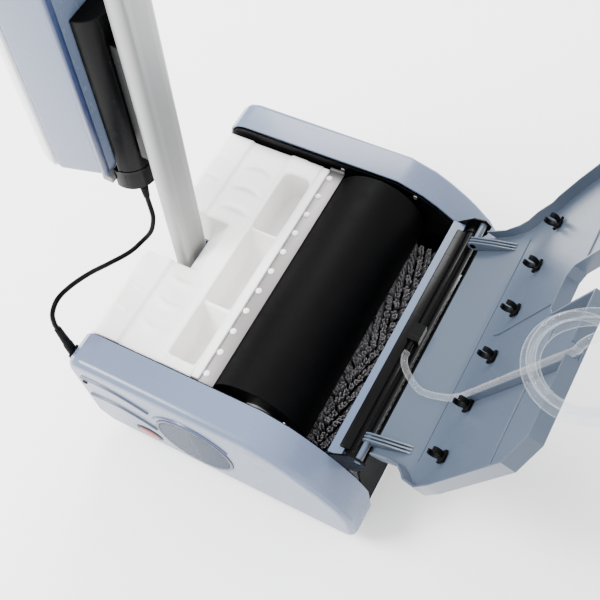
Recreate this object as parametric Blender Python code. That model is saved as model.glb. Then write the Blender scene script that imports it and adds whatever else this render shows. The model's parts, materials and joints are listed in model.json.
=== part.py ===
"""Walk-behind floor washer: two counter-turning brushes and a drum that carries the water to a tank.

Metres, +Z up, floor at z = 0. The working front faces -Y and the operator stands at +Y.
Lengths along y are counted from the drum's axis; MACHINE_Y then centres the whole object.
"""

import math

import bmesh
import bpy
from mathutils import Vector

GAP = 0.0003  # between pieces that touch
MACHINE_Y = 0.007

# Side casings
INNER_WIDTH = 0.420
CASING_THICK = 0.055
CASING_HEIGHT = 0.230
CASING_BOTTOM = 0.030
CASING_FRONT = -0.180
CASING_REAR = 0.277
CASING_WALL = 0.003
CASING_ROUND = 0.012
PLATE_THICK = 0.003
GRILLE_Y, GRILLE_Z, GRILLE_RADIUS = 0.075, 0.118, 0.066

# Brushes and drum
BRUSH_RADIUS = 0.0537
BRUSH_SPACING = 0.154
BRUSH_LENGTH = 0.392
BRUSH_CORE_RADIUS = 0.020
BRUSH_SHAFT_RADIUS = 0.008
DRUM_RADIUS = 0.0768
DRUM_HEIGHT = 0.160
DRUM_LENGTH = 0.392
DRUM_WALL = 0.003
DRUM_SHAFT_RADIUS = 0.010
SHAFT_PLAY = 0.0005
MOTOR_RADIUS = 0.050
MOTOR_NECK_RADIUS = 0.025
CARRIER_DEPTH = 0.022
CARRIER_OUTLINE = [
    (-0.098, 0.037),
    (0.098, 0.037),
    (0.098, 0.080),
    (0.040, 0.195),
    (-0.040, 0.195),
    (-0.098, 0.080),
]

# Recovery tank, scraper and shelf
TANK_FRONT = 0.0985
TANK_BOTTOM = 0.1285
TANK_TOP = 0.213
TANK_SIDE_PLAY = 0.005
TANK_WALL = 0.004
SLOT_DEPTH = 0.065
NOTCH_HALF_WIDTH = 0.046
NOTCH_FRONT = 0.211
RAMP_DROP = 0.032
STRIP_FRONT = 0.0620
STRIP_REAR = 0.0860
STRIP_THICK = 0.001
STRIP_LENGTH = 0.408
RAIL_THICK = 0.009
RIVET_COUNT = 11
RIVET_PITCH = 0.0373
SHELF_THICK = 0.003

# Front bars and lid
BAR_Y = -0.158
BAR_Z = 0.180
BAR_RADIUS = 0.0105
LID_AXIS_Y = -0.170
LID_AXIS_Z = 0.200
LID_PIN_RADIUS = 0.005
LID_ARM_X = 0.172
LID_OPEN_DEG = 116
LID_WALL = 0.003
LID_RIM = 0.016
LID_INSIDE = 0.062  # height of the closed panel's inner face over the axis
LID_REACH = 0.3968  # axis to free edge
LID_BENDS = [(-0.002, 0.0108), (0.0138, 0.0215), (0.0398, 0.0375), (0.0728, 0.0535), (0.1118, LID_INSIDE)]
LID_NARROW = 0.190  # half width between the casings
LID_WIDE = 0.238  # half width over the casings
LID_NOTCH_HALF_WIDTH = 0.037
LID_NOTCH_DEPTH = 0.102
LUG_OUTLINE = [
    (-0.120, 0.150),
    (-0.165, 0.160),
    (-0.176, 0.178),
    (-0.182, 0.200),
    (-0.172, 0.211),
    (-0.155, 0.208),
    (-0.130, 0.185),
    (-0.110, 0.165),
]
CHANNEL_START = (-0.096, 0.1168)
CHANNEL_END = (-0.110, LID_REACH - 0.012)
CHANNEL_WALL = 0.0018
CLIP_COUNT = 6
CLIP_PITCH = 0.075
CLIP_REACH = 0.1388
CLIP_RADIUS = 0.009

# Handle
PIVOT_Y = 0.240
PIVOT_Z = 0.105
PIN_RADIUS = 0.005
HANDLE_LEAN_DEG = 6
POST_WIDTH = 0.060
POST_DEPTH = 0.026
POST_TOP = 0.880
POST_WALL = 0.0025
UNIT_WIDTH = 0.120
UNIT_FRONT = 0.062
UNIT_DEPTH = 0.095
UNIT_TOP = 0.640
UNIT_BOTTOM_FRONT = 0.301
UNIT_BOTTOM_REAR = 0.257
SEAM = 0.0015
COVER_DEPTH = 0.018
HOUSING_RADIUS = 0.038
HOUSING_Y = 0.067
HOUSING_BOTTOM = 0.282
COLLAR_RADIUS = 0.036
COLLAR_BOTTOM = 0.242

# Rear crossbar and wheels
CROSSBAR_TOP = 0.085
CROSSBAR_BOTTOM = 0.062
WHEEL_RADIUS = 0.030
WHEEL_WIDTH = 0.022
WHEEL_X = 0.168
AXLE_RADIUS = 0.006
LATCH_X = 0.060
LATCH_Y = 0.269
LATCH_Z = 0.098

# Cords
CABLE_DIAMETER = 0.0075
CABLE_START = (-0.018, 0.042)  # on the collar's underside, in the handle's frame
RELIEF_LENGTH = 0.028
GLAND_Y = CASING_REAR + 0.0125
GLAND_X = -0.2365
GLAND_LOW = 0.170
GLAND_TOP = 0.262
TUBE_DIAMETER = 0.0098
COIL_RADIUS = 0.053
COIL_BUNDLE = 0.0135
COIL_CENTRE = (-0.132, -0.410, 0.558)
FITTING_PLACE = (-0.144, -0.483, 0.558)

INNER = INNER_WIDTH / 2
PLATE_INSIDE = INNER - PLATE_THICK
BRUSH_Y = BRUSH_SPACING / 2
SHAFT_END = INNER + 0.014


def clear_scene():
    for old in list(bpy.data.objects):
        bpy.data.objects.remove(old, do_unlink=True)


def material(name, colour, roughness=0.45, metallic=0.0):
    made = bpy.data.materials.new(name)
    made.use_nodes = True
    shader = made.node_tree.nodes["Principled BSDF"]
    shader.inputs["Base Color"].default_value = (*colour, 1)
    shader.inputs["Roughness"].default_value = roughness
    shader.inputs["Metallic"].default_value = metallic
    return made


def empty(name, location, parent=None, tilt=0.0):
    made = bpy.data.objects.new(name, None)
    bpy.context.scene.collection.objects.link(made)
    made.parent = parent
    made.location = location
    made.rotation_euler = (tilt, 0, 0)
    return made


def add(name, bm, look, parent, location=(0, 0, 0), smooth=False):
    """A mesh object from bm, coloured by look, under parent."""
    bmesh.ops.recalc_face_normals(bm, faces=bm.faces)
    mesh = bpy.data.meshes.new(name)
    bm.to_mesh(mesh)
    bm.free()
    if smooth:
        mesh.shade_smooth()
        mesh.set_sharp_from_angle(angle=math.radians(35))
    if look:
        mesh.materials.append(look)
    made = bpy.data.objects.new(name, mesh)
    bpy.context.scene.collection.objects.link(made)
    made.parent = parent
    made.location = location
    return made


def block(low, high):
    bm = bmesh.new()
    bmesh.ops.create_cube(bm, size=1)
    low, high = Vector(low), Vector(high)
    bmesh.ops.scale(bm, vec=high - low, verts=bm.verts)
    bmesh.ops.translate(bm, vec=(low + high) / 2, verts=bm.verts)
    return bm


def extruded(outline, along):
    """A solid from a flat outline of 3-D points, swept by the vector along."""
    bm = bmesh.new()
    face = bm.faces.new([bm.verts.new(p) for p in outline])
    swept = bmesh.ops.extrude_face_region(bm, geom=[face])["geom"]
    moved = [v for v in swept if isinstance(v, bmesh.types.BMVert)]
    bmesh.ops.translate(bm, vec=along, verts=moved)
    return bm


def side_prism(outline, x_low, x_high):
    """A solid from (y, z) points between two planes of constant x."""
    return extruded([(x_low, y, z) for y, z in outline], (x_high - x_low, 0, 0))


def turned(profile, steps=32, axis="X"):
    """A solid of revolution from (along, radius) points, about x or z."""
    bm = bmesh.new()
    if axis == "X":
        points, around = [(a, 0, r) for a, r in profile], (1, 0, 0)
    else:
        points, around = [(r, 0, a) for a, r in profile], (0, 0, 1)
    verts = [bm.verts.new(p) for p in points]
    closed = profile[0][1] > 0
    edges = [bm.edges.new(pair) for pair in zip(verts, verts[1:])]
    if closed:
        edges.append(bm.edges.new((verts[-1], verts[0])))
    bmesh.ops.spin(bm, geom=verts + edges, cent=(0, 0, 0), axis=around, angle=2 * math.pi, steps=steps)
    bmesh.ops.remove_doubles(bm, verts=bm.verts, dist=0.00001)
    return bm


def rounded_rectangle(half_x, half_y, radius, steps=4):
    """The (x, y) corners of a rectangle with round corners."""
    points = []
    for corner, (sx, sy) in enumerate([(1, 1), (-1, 1), (-1, -1), (1, -1)]):
        for step in range(steps + 1):
            angle = math.pi / 2 * (corner + step / steps)
            points.append((
                sx * (half_x - radius) + radius * math.cos(angle),
                sy * (half_y - radius) + radius * math.sin(angle),
            ))
    return points


def inset(outline, distance):
    """A closed counter-clockwise outline moved inwards by distance."""
    moved = []
    for i, point in enumerate(outline):
        before = (Vector(point) - Vector(outline[i - 1])).normalized()
        after = (Vector(outline[(i + 1) % len(outline)]) - Vector(point)).normalized()
        bisector = Vector((-before.y - after.y, before.x + after.x)).normalized()
        reach = distance / max(0.2, bisector.dot(Vector((-before.y, before.x))))
        moved.append(tuple(Vector(point) + reach * bisector))
    return moved


def cut(target, bm, name="cutter"):
    """Take bm's solid, given in the target's own frame, out of target."""
    cutter = add(name, bm, None, target)
    cutter.hide_render = True
    cutter.display_type = "WIRE"
    step = target.modifiers.new(name, "BOOLEAN")
    step.operation = "DIFFERENCE"
    step.object = cutter


def join_to(target, bm, name="addition"):
    """Fuse bm's solid, given in the target's own frame, onto target."""
    extra = add(name, bm, None, target)
    extra.hide_render = True
    extra.display_type = "WIRE"
    step = target.modifiers.new(name, "BOOLEAN")
    step.operation = "UNION"
    step.object = extra


def rod_x(radius, x_low, x_high, y=0.0, z=0.0, steps=24):
    bm = turned([(x_low, 0), (x_low, radius), (x_high, radius), (x_high, 0)], steps)
    bmesh.ops.translate(bm, vec=(0, y, z), verts=bm.verts)
    return bm


def rod_z(radius, z_low, z_high, x=0.0, y=0.0, steps=24):
    bm = turned([(z_low, 0), (z_low, radius), (z_high, radius), (z_high, 0)], steps, axis="Z")
    bmesh.ops.translate(bm, vec=(x, y, 0), verts=bm.verts)
    return bm


def casing_outline():
    """Side view of a casing, counter-clockwise seen from +X: (y, z) points."""
    corner = 0.030
    rear_corner = [
        (
            CASING_REAR - corner + corner * math.cos(angle),
            CASING_HEIGHT - corner + corner * math.sin(angle),
        )
        for angle in (math.radians(a) for a in range(0, 91, 30))
    ]
    nose = [(-0.027, 0.0), (-0.070, 0.0145), (-0.095, 0.030), (-0.121, 0.050), (-0.139, 0.067)]
    return [
        (CASING_FRONT + 0.010, CASING_BOTTOM),
        (CASING_REAR - 0.025, CASING_BOTTOM),
        (CASING_REAR, CASING_BOTTOM + 0.025),
        *rear_corner,
        *[(y, CASING_HEIGHT - drop) for y, drop in nose],
        (-0.163, CASING_HEIGHT - 0.095),
        (CASING_FRONT, CASING_HEIGHT - 0.130),
        (CASING_FRONT, CASING_BOTTOM + 0.010),
    ]


def casing(name, side, look, parent):
    """An open-backed moulding: outer face, round edge and rim, thickened inwards."""
    bm = bmesh.new()
    outer = side * (INNER + CASING_THICK)
    face = bm.faces.new([bm.verts.new((outer, y, z)) for y, z in casing_outline()])
    rim = bmesh.ops.extrude_edge_only(bm, edges=list(face.edges))["geom"]
    moved = [v for v in rim if isinstance(v, bmesh.types.BMVert)]
    bmesh.ops.translate(bm, vec=(-side * CASING_THICK, 0, 0), verts=moved)
    bmesh.ops.bevel(
        bm, geom=list(face.edges), offset=CASING_ROUND, segments=3, profile=0.5, affect="EDGES"
    )
    made = add(name, bm, look, parent, smooth=True)
    outward = max(made.data.polygons, key=lambda polygon: polygon.area).normal.x * side
    if outward < 0:
        made.data.flip_normals()
    wall = made.modifiers.new("wall", "SOLIDIFY")
    wall.thickness = CASING_WALL
    wall.offset = -1
    wall.use_even_offset = True
    return made


def fan_grille(look, parent):
    """A round disc with level louvre slots, set in the near casing's outer face."""
    x_outer = -(INNER + CASING_THICK)
    bm = rod_x(GRILLE_RADIUS - GAP, x_outer - 0.001, x_outer + CASING_WALL, steps=40)
    made = add("fan_grille", bm, look, parent, (0, GRILLE_Y, GRILLE_Z), smooth=True)
    for number in range(-4, 5):
        level = number * 0.0125
        half = math.sqrt((GRILLE_RADIUS - 0.008) ** 2 - level**2)
        slot = block((x_outer - 0.01, -half, level - 0.003), (x_outer + 0.02, half, level + 0.003))
        cut(made, slot, f"louvre_slot_{number + 4}")
    return made


def side_plate(name, side, look, parent):
    """A flat inner wall with a lug for the lid's pin, and holes for the drum and both brushes."""
    outline = inset(casing_outline(), 0.005)
    low, high = sorted((side * PLATE_INSIDE, side * (INNER - GAP)))
    made = add(name, side_prism(outline, low, high), look, parent)
    join_to(made, side_prism(LUG_OUTLINE, low, high), f"{name}_lug")
    reach = (low - 0.01, high + 0.01)
    pin_hole = rod_x(LID_PIN_RADIUS + GAP, *reach, y=LID_AXIS_Y, z=LID_AXIS_Z)
    cut(made, pin_hole, f"{name}_pin_hole")
    for index, y in enumerate((-BRUSH_Y, BRUSH_Y)):
        hole = rod_x(BRUSH_SHAFT_RADIUS + 0.004, *reach, y=y, z=BRUSH_RADIUS)
        cut(made, hole, f"{name}_brush_hole_{index}")
    wide = MOTOR_NECK_RADIUS + 0.0015 if side < 0 else DRUM_SHAFT_RADIUS + 0.004
    cut(made, rod_x(wide, *reach, z=DRUM_HEIGHT), f"{name}_drum_hole")
    return made


def shaft_carrier(name, side, depth, drum_hole, look, parent):
    """The block in a casing that carries the brush shafts and the drum's shaft or neck."""
    low, high = sorted((side * (INNER + GAP), side * (INNER + depth)))
    made = add(name, side_prism(CARRIER_OUTLINE, low, high), look, parent)
    inner, bottom = side * (INNER - 0.01), side * (SHAFT_END + 0.001)
    reach = sorted((inner, bottom))
    for index, y in enumerate((-BRUSH_Y, BRUSH_Y)):
        hole = rod_x(BRUSH_SHAFT_RADIUS + SHAFT_PLAY, *reach, y=y, z=BRUSH_RADIUS)
        cut(made, hole, f"{name}_brush_bore_{index}")
    cut(made, rod_x(drum_hole, *reach, z=DRUM_HEIGHT), f"{name}_drum_bore")
    return made


def brush(name, y, core_look, bristle_look, root):
    """A turned core with stub shafts, and the sleeve of bristles around it."""
    axis = empty(f"{name}_axis", (0, y, BRUSH_RADIUS), root)
    half = BRUSH_LENGTH / 2 + 0.004
    profile = [
        (-SHAFT_END, 0),
        (-SHAFT_END, BRUSH_SHAFT_RADIUS),
        (-half, BRUSH_SHAFT_RADIUS),
        (-half, BRUSH_CORE_RADIUS),
        (half, BRUSH_CORE_RADIUS),
        (half, BRUSH_SHAFT_RADIUS),
        (SHAFT_END, BRUSH_SHAFT_RADIUS),
        (SHAFT_END, 0),
    ]
    add(f"{name}_core", turned(profile, 24), core_look, axis, smooth=True)
    ends = BRUSH_LENGTH / 2
    inside = BRUSH_CORE_RADIUS + GAP
    sleeve = [(-ends, inside), (-ends, BRUSH_RADIUS), (ends, BRUSH_RADIUS), (ends, inside)]
    add(f"{name}_bristles", turned(sleeve, 48), bristle_look, axis, smooth=True)


def drum(shell_look, hub_look, root):
    """The hollow roller and its two hubs; the far hub has the driven stub shaft."""
    axis = empty("drum_axis", (0, 0, DRUM_HEIGHT), root)
    half, inside = DRUM_LENGTH / 2, DRUM_RADIUS - DRUM_WALL
    shell = [(-half, inside), (-half, DRUM_RADIUS), (half, DRUM_RADIUS), (half, inside)]
    add("drum_shell", turned(shell, 64), shell_look, axis, smooth=True)
    rim, back, front = inside - GAP, half - 0.012, half - 0.004
    hole = MOTOR_NECK_RADIUS + 0.002
    near = [(-front, hole), (-front, rim), (-back, rim), (-back, hole)]
    add("drum_hub_near", turned(near, 48), hub_look, axis, smooth=True)
    far = [
        (back, BRUSH_SHAFT_RADIUS + SHAFT_PLAY),
        (back, rim),
        (front, rim),
        (front, DRUM_SHAFT_RADIUS),
        (SHAFT_END, DRUM_SHAFT_RADIUS),
        (SHAFT_END, 0.003),
        (front, 0.003),
        (front, BRUSH_SHAFT_RADIUS + SHAFT_PLAY),
    ]
    add("drum_hub_far", turned(far, 48), hub_look, axis, smooth=True)


def drive_motor(look, parent):
    """The sealed motor inside the drum, held by its neck in the near plate."""
    tip = DRUM_LENGTH / 2 - 0.006
    profile = [
        (-SHAFT_END, 0),
        (-SHAFT_END, MOTOR_NECK_RADIUS),
        (-0.160, MOTOR_NECK_RADIUS),
        (-0.150, MOTOR_RADIUS),
        (0.120, MOTOR_RADIUS),
        (0.130, 0.020),
        (0.140, BRUSH_SHAFT_RADIUS),
        (tip, BRUSH_SHAFT_RADIUS),
        (tip, 0),
    ]
    add("drive_motor", turned(profile, 32), look, parent, (0, 0, DRUM_HEIGHT), smooth=True)


def frame_bars(steel, parent):
    """The front crossbar, the rear crossbar and the shelf under the tank."""
    half = PLATE_INSIDE - GAP
    front = add("front_crossbar", block((-half, -0.142, 0.165), (half, -0.122, 0.185)), steel, parent)
    cut(front, block((-half - 0.01, -0.139, 0.155), (half + 0.01, -0.125, 0.182)), "front_channel")
    rear_crossbar(steel, parent)
    shelf_top = TANK_BOTTOM - GAP
    shelf = add(
        "tank_shelf",
        block((-half, 0.112, shelf_top - SHELF_THICK), (half, CASING_REAR - 0.012, shelf_top)),
        steel,
        parent,
    )
    notch = block((-NOTCH_HALF_WIDTH, 0.195, 0.1), (NOTCH_HALF_WIDTH, CASING_REAR, 0.15))
    cut(shelf, notch, "shelf_notch")


def rear_crossbar(steel, parent):
    """The channel across the rear, with the handle's fork ears above and the axle plates below."""
    half, y_axle = PLATE_INSIDE - GAP, PIVOT_Y - 0.003
    beam = block((-half, 0.212, CROSSBAR_BOTTOM), (half, 0.266, CROSSBAR_TOP))
    made = add("rear_crossbar", beam, steel, parent)
    channel = block((-half - 0.01, 0.215, CROSSBAR_BOTTOM - 0.01), (half + 0.01, 0.263, CROSSBAR_TOP - 0.003))
    cut(made, channel, "rear_channel")
    ear = [
        (PIVOT_Y - 0.020, CROSSBAR_TOP - 0.001),
        (PIVOT_Y + 0.020, CROSSBAR_TOP - 0.001),
        (PIVOT_Y + 0.012, PIVOT_Z + 0.014),
        (PIVOT_Y - 0.012, PIVOT_Z + 0.014),
    ]
    for name, side in (("near", -1), ("far", 1)):
        low, high = sorted((side * (POST_WIDTH / 2 + 0.002), side * (POST_WIDTH / 2 + 0.008)))
        join_to(made, side_prism(ear, low, high), f"fork_ear_{name}")
        low, high = sorted((side * 0.142, side * 0.148))
        plate = block((low, y_axle - 0.010, 0.018), (high, y_axle + 0.010, CROSSBAR_TOP - 0.001))
        join_to(made, plate, f"axle_plate_{name}")
    pin = rod_x(PIN_RADIUS + GAP, -0.045, 0.045, y=PIVOT_Y, z=PIVOT_Z)
    cut(made, pin, "fork_hole")
    for name, side in (("near", -1), ("far", 1)):
        low, high = sorted((LATCH_X + side * (0.010 + GAP), LATCH_X + side * 0.0135))
        ear = block((low, LATCH_Y - 0.010, CROSSBAR_TOP - 0.001), (high, LATCH_Y + 0.006, LATCH_Z + 0.006))
        join_to(made, ear, f"latch_ear_{name}")
    latch_pin = rod_x(0.003 + GAP, LATCH_X - 0.02, LATCH_X + 0.02, y=LATCH_Y, z=LATCH_Z, steps=16)
    cut(made, latch_pin, "latch_hole")
    cut(made, rod_x(AXLE_RADIUS + GAP, -half, half, y=y_axle, z=WHEEL_RADIUS), "axle_hole")


def front_guard(look, parent):
    """The rubber splash strip across the front, just clear of the floor."""
    half = PLATE_INSIDE - GAP
    y = CASING_FRONT + 0.012
    add("splash_strip", block((-half, y, 0.008), (half, y + 0.004, 0.150)), look, parent)


def spray_bar(look, parent):
    """The black bar on the lid's hinge line, its water inlet and its two end caps."""
    half = PLATE_INSIDE - GAP
    bar = rod_x(BAR_RADIUS, -half + 0.012, half - 0.012, steps=20)
    add("spray_bar", bar, look, parent, (0, BAR_Y, BAR_Z), smooth=True)
    for name, side in (("bar_cap_near", -1), ("bar_cap_far", 1)):
        low, high = sorted((side * (half - 0.012 + GAP), side * half))
        cap = rod_x(BAR_RADIUS + 0.002, low, high, steps=20)
        add(name, cap, look, parent, (0, BAR_Y, BAR_Z), smooth=True)
    inlet = block((-0.014, -0.009, BAR_RADIUS + GAP), (0.014, 0.009, BAR_RADIUS + 0.014))
    made = add("spray_inlet", inlet, look, parent, (0, BAR_Y, BAR_Z))
    nozzle = rod_x(0.0035, -0.030, 0.0, z=BAR_RADIUS + 0.0075, steps=16)
    join_to(made, nozzle, "inlet_nozzle")


def lid_height(reach):
    """Height of the closed lid's inner face over the axis, at a distance behind it."""
    for (y0, z0), (y1, z1) in zip(LID_BENDS, LID_BENDS[1:]):
        if reach <= y1:
            return z0 + (z1 - z0) * (reach - y0) / (y1 - y0)
    return LID_INSIDE


def lid_outline():
    """Half of the closed lid in plan, hinge to centre of the notch: (reach, half width)."""
    notch = LID_REACH - LID_NOTCH_DEPTH
    return [
        (LID_BENDS[0][0], LID_NARROW),
        (0.0398, LID_NARROW + 0.004),
        (0.0618, LID_NARROW + 0.010),
        (0.0868, LID_WIDE - 0.018),
        (0.1268, LID_WIDE - 0.004),
        (0.1768, LID_WIDE),
        (LID_REACH - 0.035, LID_WIDE),
        (LID_REACH, LID_WIDE - 0.023),
        (LID_REACH, LID_NOTCH_HALF_WIDTH),
        (notch + 0.012, LID_NOTCH_HALF_WIDTH),
        (notch, LID_NOTCH_HALF_WIDTH - 0.012),
    ]


def lid_panel(look, axis):
    """The bent lid with a turned-down rim, thickened outwards. Modelled closed, shown open."""
    half = lid_outline()
    outline = half + [(reach, -x) for reach, x in reversed(half)]
    bm = bmesh.new()
    face = bm.faces.new([bm.verts.new((x, reach, 0)) for reach, x in outline])
    for reach, _ in LID_BENDS[1:]:
        whole = [*bm.verts, *bm.edges, *bm.faces]
        bmesh.ops.bisect_plane(bm, geom=whole, plane_co=(0, reach, 0), plane_no=(0, 1, 0))
    for vert in bm.verts:
        vert.co.z = lid_height(vert.co.y)
    rim_start = LID_BENDS[1][0] - 0.0001
    rim = [e for e in bm.edges if e.is_boundary and min(v.co.y for v in e.verts) > rim_start]
    swept = bmesh.ops.extrude_edge_only(bm, edges=rim)["geom"]
    for vert in swept:
        if isinstance(vert, bmesh.types.BMVert):
            vert.co.z -= LID_RIM
    made = add("lid_panel", bm, look, axis)
    up = max(made.data.polygons, key=lambda polygon: polygon.area).normal.z
    if up < 0:
        made.data.flip_normals()
    wall = made.modifiers.new("wall", "SOLIDIFY")
    wall.thickness = LID_WALL
    wall.offset = 1
    wall.use_even_offset = True
    x, half = CHANNEL_END[0], TUBE_DIAMETER / 2 + 0.003
    low = (x - half, LID_REACH - 0.008, LID_INSIDE - 0.03)
    high = (x + half, LID_REACH + 0.01, LID_INSIDE - GAP)
    gate = block(low, high)
    cut(made, gate, "tube_gate")


def hinge_arm(name, side, look, axis):
    """A lug under the lid's first bends, with the pin that turns in the side plate."""
    under = 0.0012
    outline = [
        (-0.0090, -0.0010),
        (-0.0055, -0.0072),
        (0.0010, -0.0090),
        (0.0070, -0.0055),
        (0.0400, 0.0120),
        *[(reach, height - under) for reach, height in reversed(LID_BENDS[1:4])],
        (-0.0015, LID_BENDS[0][1] - under),
        (-0.0070, 0.0060),
    ]
    made = add(name, side_prism(outline, side * LID_ARM_X - 0.006, side * LID_ARM_X + 0.006), look, axis)
    low, high = sorted((side * LID_ARM_X, side * (INNER - 2 * GAP)))
    join_to(made, rod_x(LID_PIN_RADIUS, low, high, steps=20), f"{name}_pin")


def spring_clip(name, x, look, axis):
    """A C-shaped clip on a foot, open away from the lid's inner face."""
    outer, inner, opening = CLIP_RADIUS, CLIP_RADIUS - 0.003, math.radians(50)
    steps = 10
    sweep = 2 * math.pi - 2 * opening
    angles = [-math.pi / 2 + opening + sweep * i / steps for i in range(steps + 1)]
    arc_out = [(outer * math.cos(a), outer * math.sin(a)) for a in angles]
    arc_in = [(inner * math.cos(a), inner * math.sin(a)) for a in reversed(angles)]
    outline = [(y, z) for y, z in arc_out + arc_in]
    lift = LID_INSIDE - GAP - 0.003 - outer
    made = add(name, side_prism(outline, x - 0.005, x + 0.005), look, axis, (0, CLIP_REACH, lift))
    foot = block((x - 0.006, -0.007, outer - 0.002), (x + 0.006, 0.007, outer + 0.003))
    join_to(made, foot, f"{name}_foot")


def tube_channel(look, axis):
    """The U-section guide that holds the clear tube along the lid's inner face."""
    start, end = Vector(CHANNEL_START), Vector(CHANNEL_END)
    along = (end - start).normalized()
    across = Vector((-along.y, along.x))
    half, wall, tall = TUBE_DIAMETER / 2 + 0.003, CHANNEL_WALL, 0.010
    top = LID_INSIDE - GAP
    section = [
        (-half, 0),
        (half, 0),
        (half, -tall),
        (half - wall, -tall),
        (half - wall, -wall),
        (wall - half, -wall),
        (wall - half, -tall),
        (-half, -tall),
    ]
    outline = [(*(start + across * offset), top + z) for offset, z in section]
    bm = extruded(outline, (*(end - start), 0))
    add("tube_channel", bm, look, axis)


def lid(root, blue, black):
    """Everything that swings with the lid, about the two pins of its arms."""
    axis = empty("lid_axis", (0, LID_AXIS_Y, LID_AXIS_Z), root, math.radians(LID_OPEN_DEG))
    lid_panel(blue, axis)
    hinge_arm("hinge_arm_near", -1, blue, axis)
    hinge_arm("hinge_arm_far", 1, blue, axis)
    tube_channel(blue, axis)
    for number in range(CLIP_COUNT):
        x = (number - (CLIP_COUNT - 1) / 2) * CLIP_PITCH
        spring_clip(f"lid_clip_{number + 1}", x, black, axis)


def recovery_tank(look, root):
    """The lift-off tank: a body with a long slot in three pockets, and a notch for the post."""
    half = PLATE_INSIDE - TANK_SIDE_PLAY
    rear = CASING_REAR
    outline = [
        (TANK_FRONT, TANK_BOTTOM),
        (rear - 0.006, TANK_BOTTOM),
        (rear, TANK_BOTTOM + 0.006),
        (rear, TANK_TOP - 0.010),
        (rear - 0.010, TANK_TOP),
        (0.228, TANK_TOP),
        (0.224, TANK_TOP - 0.004),
        (0.158, TANK_TOP - 0.004),
        (0.153, TANK_TOP),
        (TANK_FRONT, TANK_TOP - 0.002),
    ]
    made = add("recovery_tank", side_prism(outline, -half, half), look, root)
    wide = NOTCH_HALF_WIDTH
    notch = block((-wide, NOTCH_FRONT, 0.1), (wide, rear + 0.02, TANK_TOP + 0.02))
    cut(made, notch, "post_notch")
    ramp = [
        (NOTCH_FRONT - 0.034, TANK_TOP + 0.01),
        (NOTCH_FRONT - 0.030, TANK_TOP - 0.006),
        (NOTCH_FRONT - 0.002, TANK_TOP - RAMP_DROP),
        (NOTCH_FRONT + 0.005, TANK_TOP - RAMP_DROP),
        (NOTCH_FRONT + 0.005, TANK_TOP + 0.01),
    ]
    cut(made, side_prism(ramp, -wide, wide), "post_ramp")
    floor = TANK_TOP - SLOT_DEPTH
    front, back = TANK_FRONT + TANK_WALL, 0.147
    pockets = [(-0.184, -0.092), (-0.082, 0.046), (0.060, 0.170)]
    for number, (near, far) in enumerate(pockets):
        shape = [
            (near, front, floor),
            (far - 0.035, front, floor),
            (far, front, TANK_TOP + 0.01),
            (near, front, TANK_TOP + 0.01),
        ]
        cut(made, extruded(shape, (0, back - front, 0)), f"pocket_{number + 1}")


def scraper(white, steel, root):
    """The rail on the tank's front lip, and the riveted steel strip that skims the drum."""
    strip_bottom = 0.2068
    half = STRIP_LENGTH / 2
    low, top = strip_bottom - GAP - RAIL_THICK, strip_bottom - GAP
    back = TANK_FRONT - GAP
    rail = [
        (STRIP_FRONT + 0.010, low),
        (back, low),
        (back, top + 0.005),
        (STRIP_REAR + GAP, top + 0.005),
        (STRIP_REAR + GAP, top),
        (STRIP_FRONT + 0.010, top),
    ]
    add("scraper_rail", side_prism(rail, -half + 0.004, half - 0.004), white, root)
    strip = block(
        (-half, STRIP_FRONT, strip_bottom), (half, STRIP_REAR, strip_bottom + STRIP_THICK)
    )
    made = add("scraper_strip", strip, steel, root)
    for number in range(RIVET_COUNT):
        x = (number - (RIVET_COUNT - 1) / 2) * RIVET_PITCH
        head = rod_z(0.0037, 0, 0.0025, steps=10)
        bmesh.ops.translate(head, vec=(x, STRIP_REAR - 0.005, strip_bottom), verts=head.verts)
        join_to(made, head, f"rivet_{number + 1}")


def pivot_pin(steel, parent):
    """The pin through the fork ears and the post's foot."""
    half = POST_WIDTH / 2 + 0.010
    pin = rod_x(PIN_RADIUS, -half, half, y=PIVOT_Y, z=PIVOT_Z)
    add("pivot_pin", pin, steel, parent, smooth=True)


def park_latch(look, parent):
    """The foot lever behind the fork that holds the post upright."""
    axis = empty("latch_axis", (LATCH_X, LATCH_Y, LATCH_Z), parent)
    outline = [
        (-0.006, -0.005),
        (0.030, -0.012),
        (0.052, -0.010),
        (0.052, -0.005),
        (0.030, -0.006),
        (0.006, 0.005),
        (-0.006, 0.005),
    ]
    made = add("park_latch", side_prism(outline, -0.010, 0.010), look, axis)
    join_to(made, rod_x(0.003, -0.013, 0.013, steps=16), "latch_pin")


def post_section(half_x, half_y, z_low, z_high, radius):
    """A tube stock length with a round-cornered section."""
    outline = [(x, y, z_low) for x, y in rounded_rectangle(half_x, half_y, radius)]
    return extruded(outline, (0, 0, z_high - z_low))


def handle(root, looks):
    """The post and what it carries, modelled upright in a frame that leans forward."""
    axis = empty("handle_axis", (0, PIVOT_Y, PIVOT_Z), root, math.radians(HANDLE_LEAN_DEG))
    half_x, half_y = POST_WIDTH / 2, POST_DEPTH / 2
    tube = post_section(half_x, half_y, -0.014, POST_TOP, 0.011)
    post = add("handle_post", tube, looks["alloy"], axis, smooth=True)
    hollow = post_section(half_x - POST_WALL, half_y - POST_WALL, -0.05, POST_TOP - 0.01, 0.0085)
    cut(post, hollow, "post_hollow")
    cut(post, rod_x(PIN_RADIUS + GAP, -0.05, 0.05), "post_pin_hole")
    control_unit(axis, looks)
    grip(axis, looks)
    return axis


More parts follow.
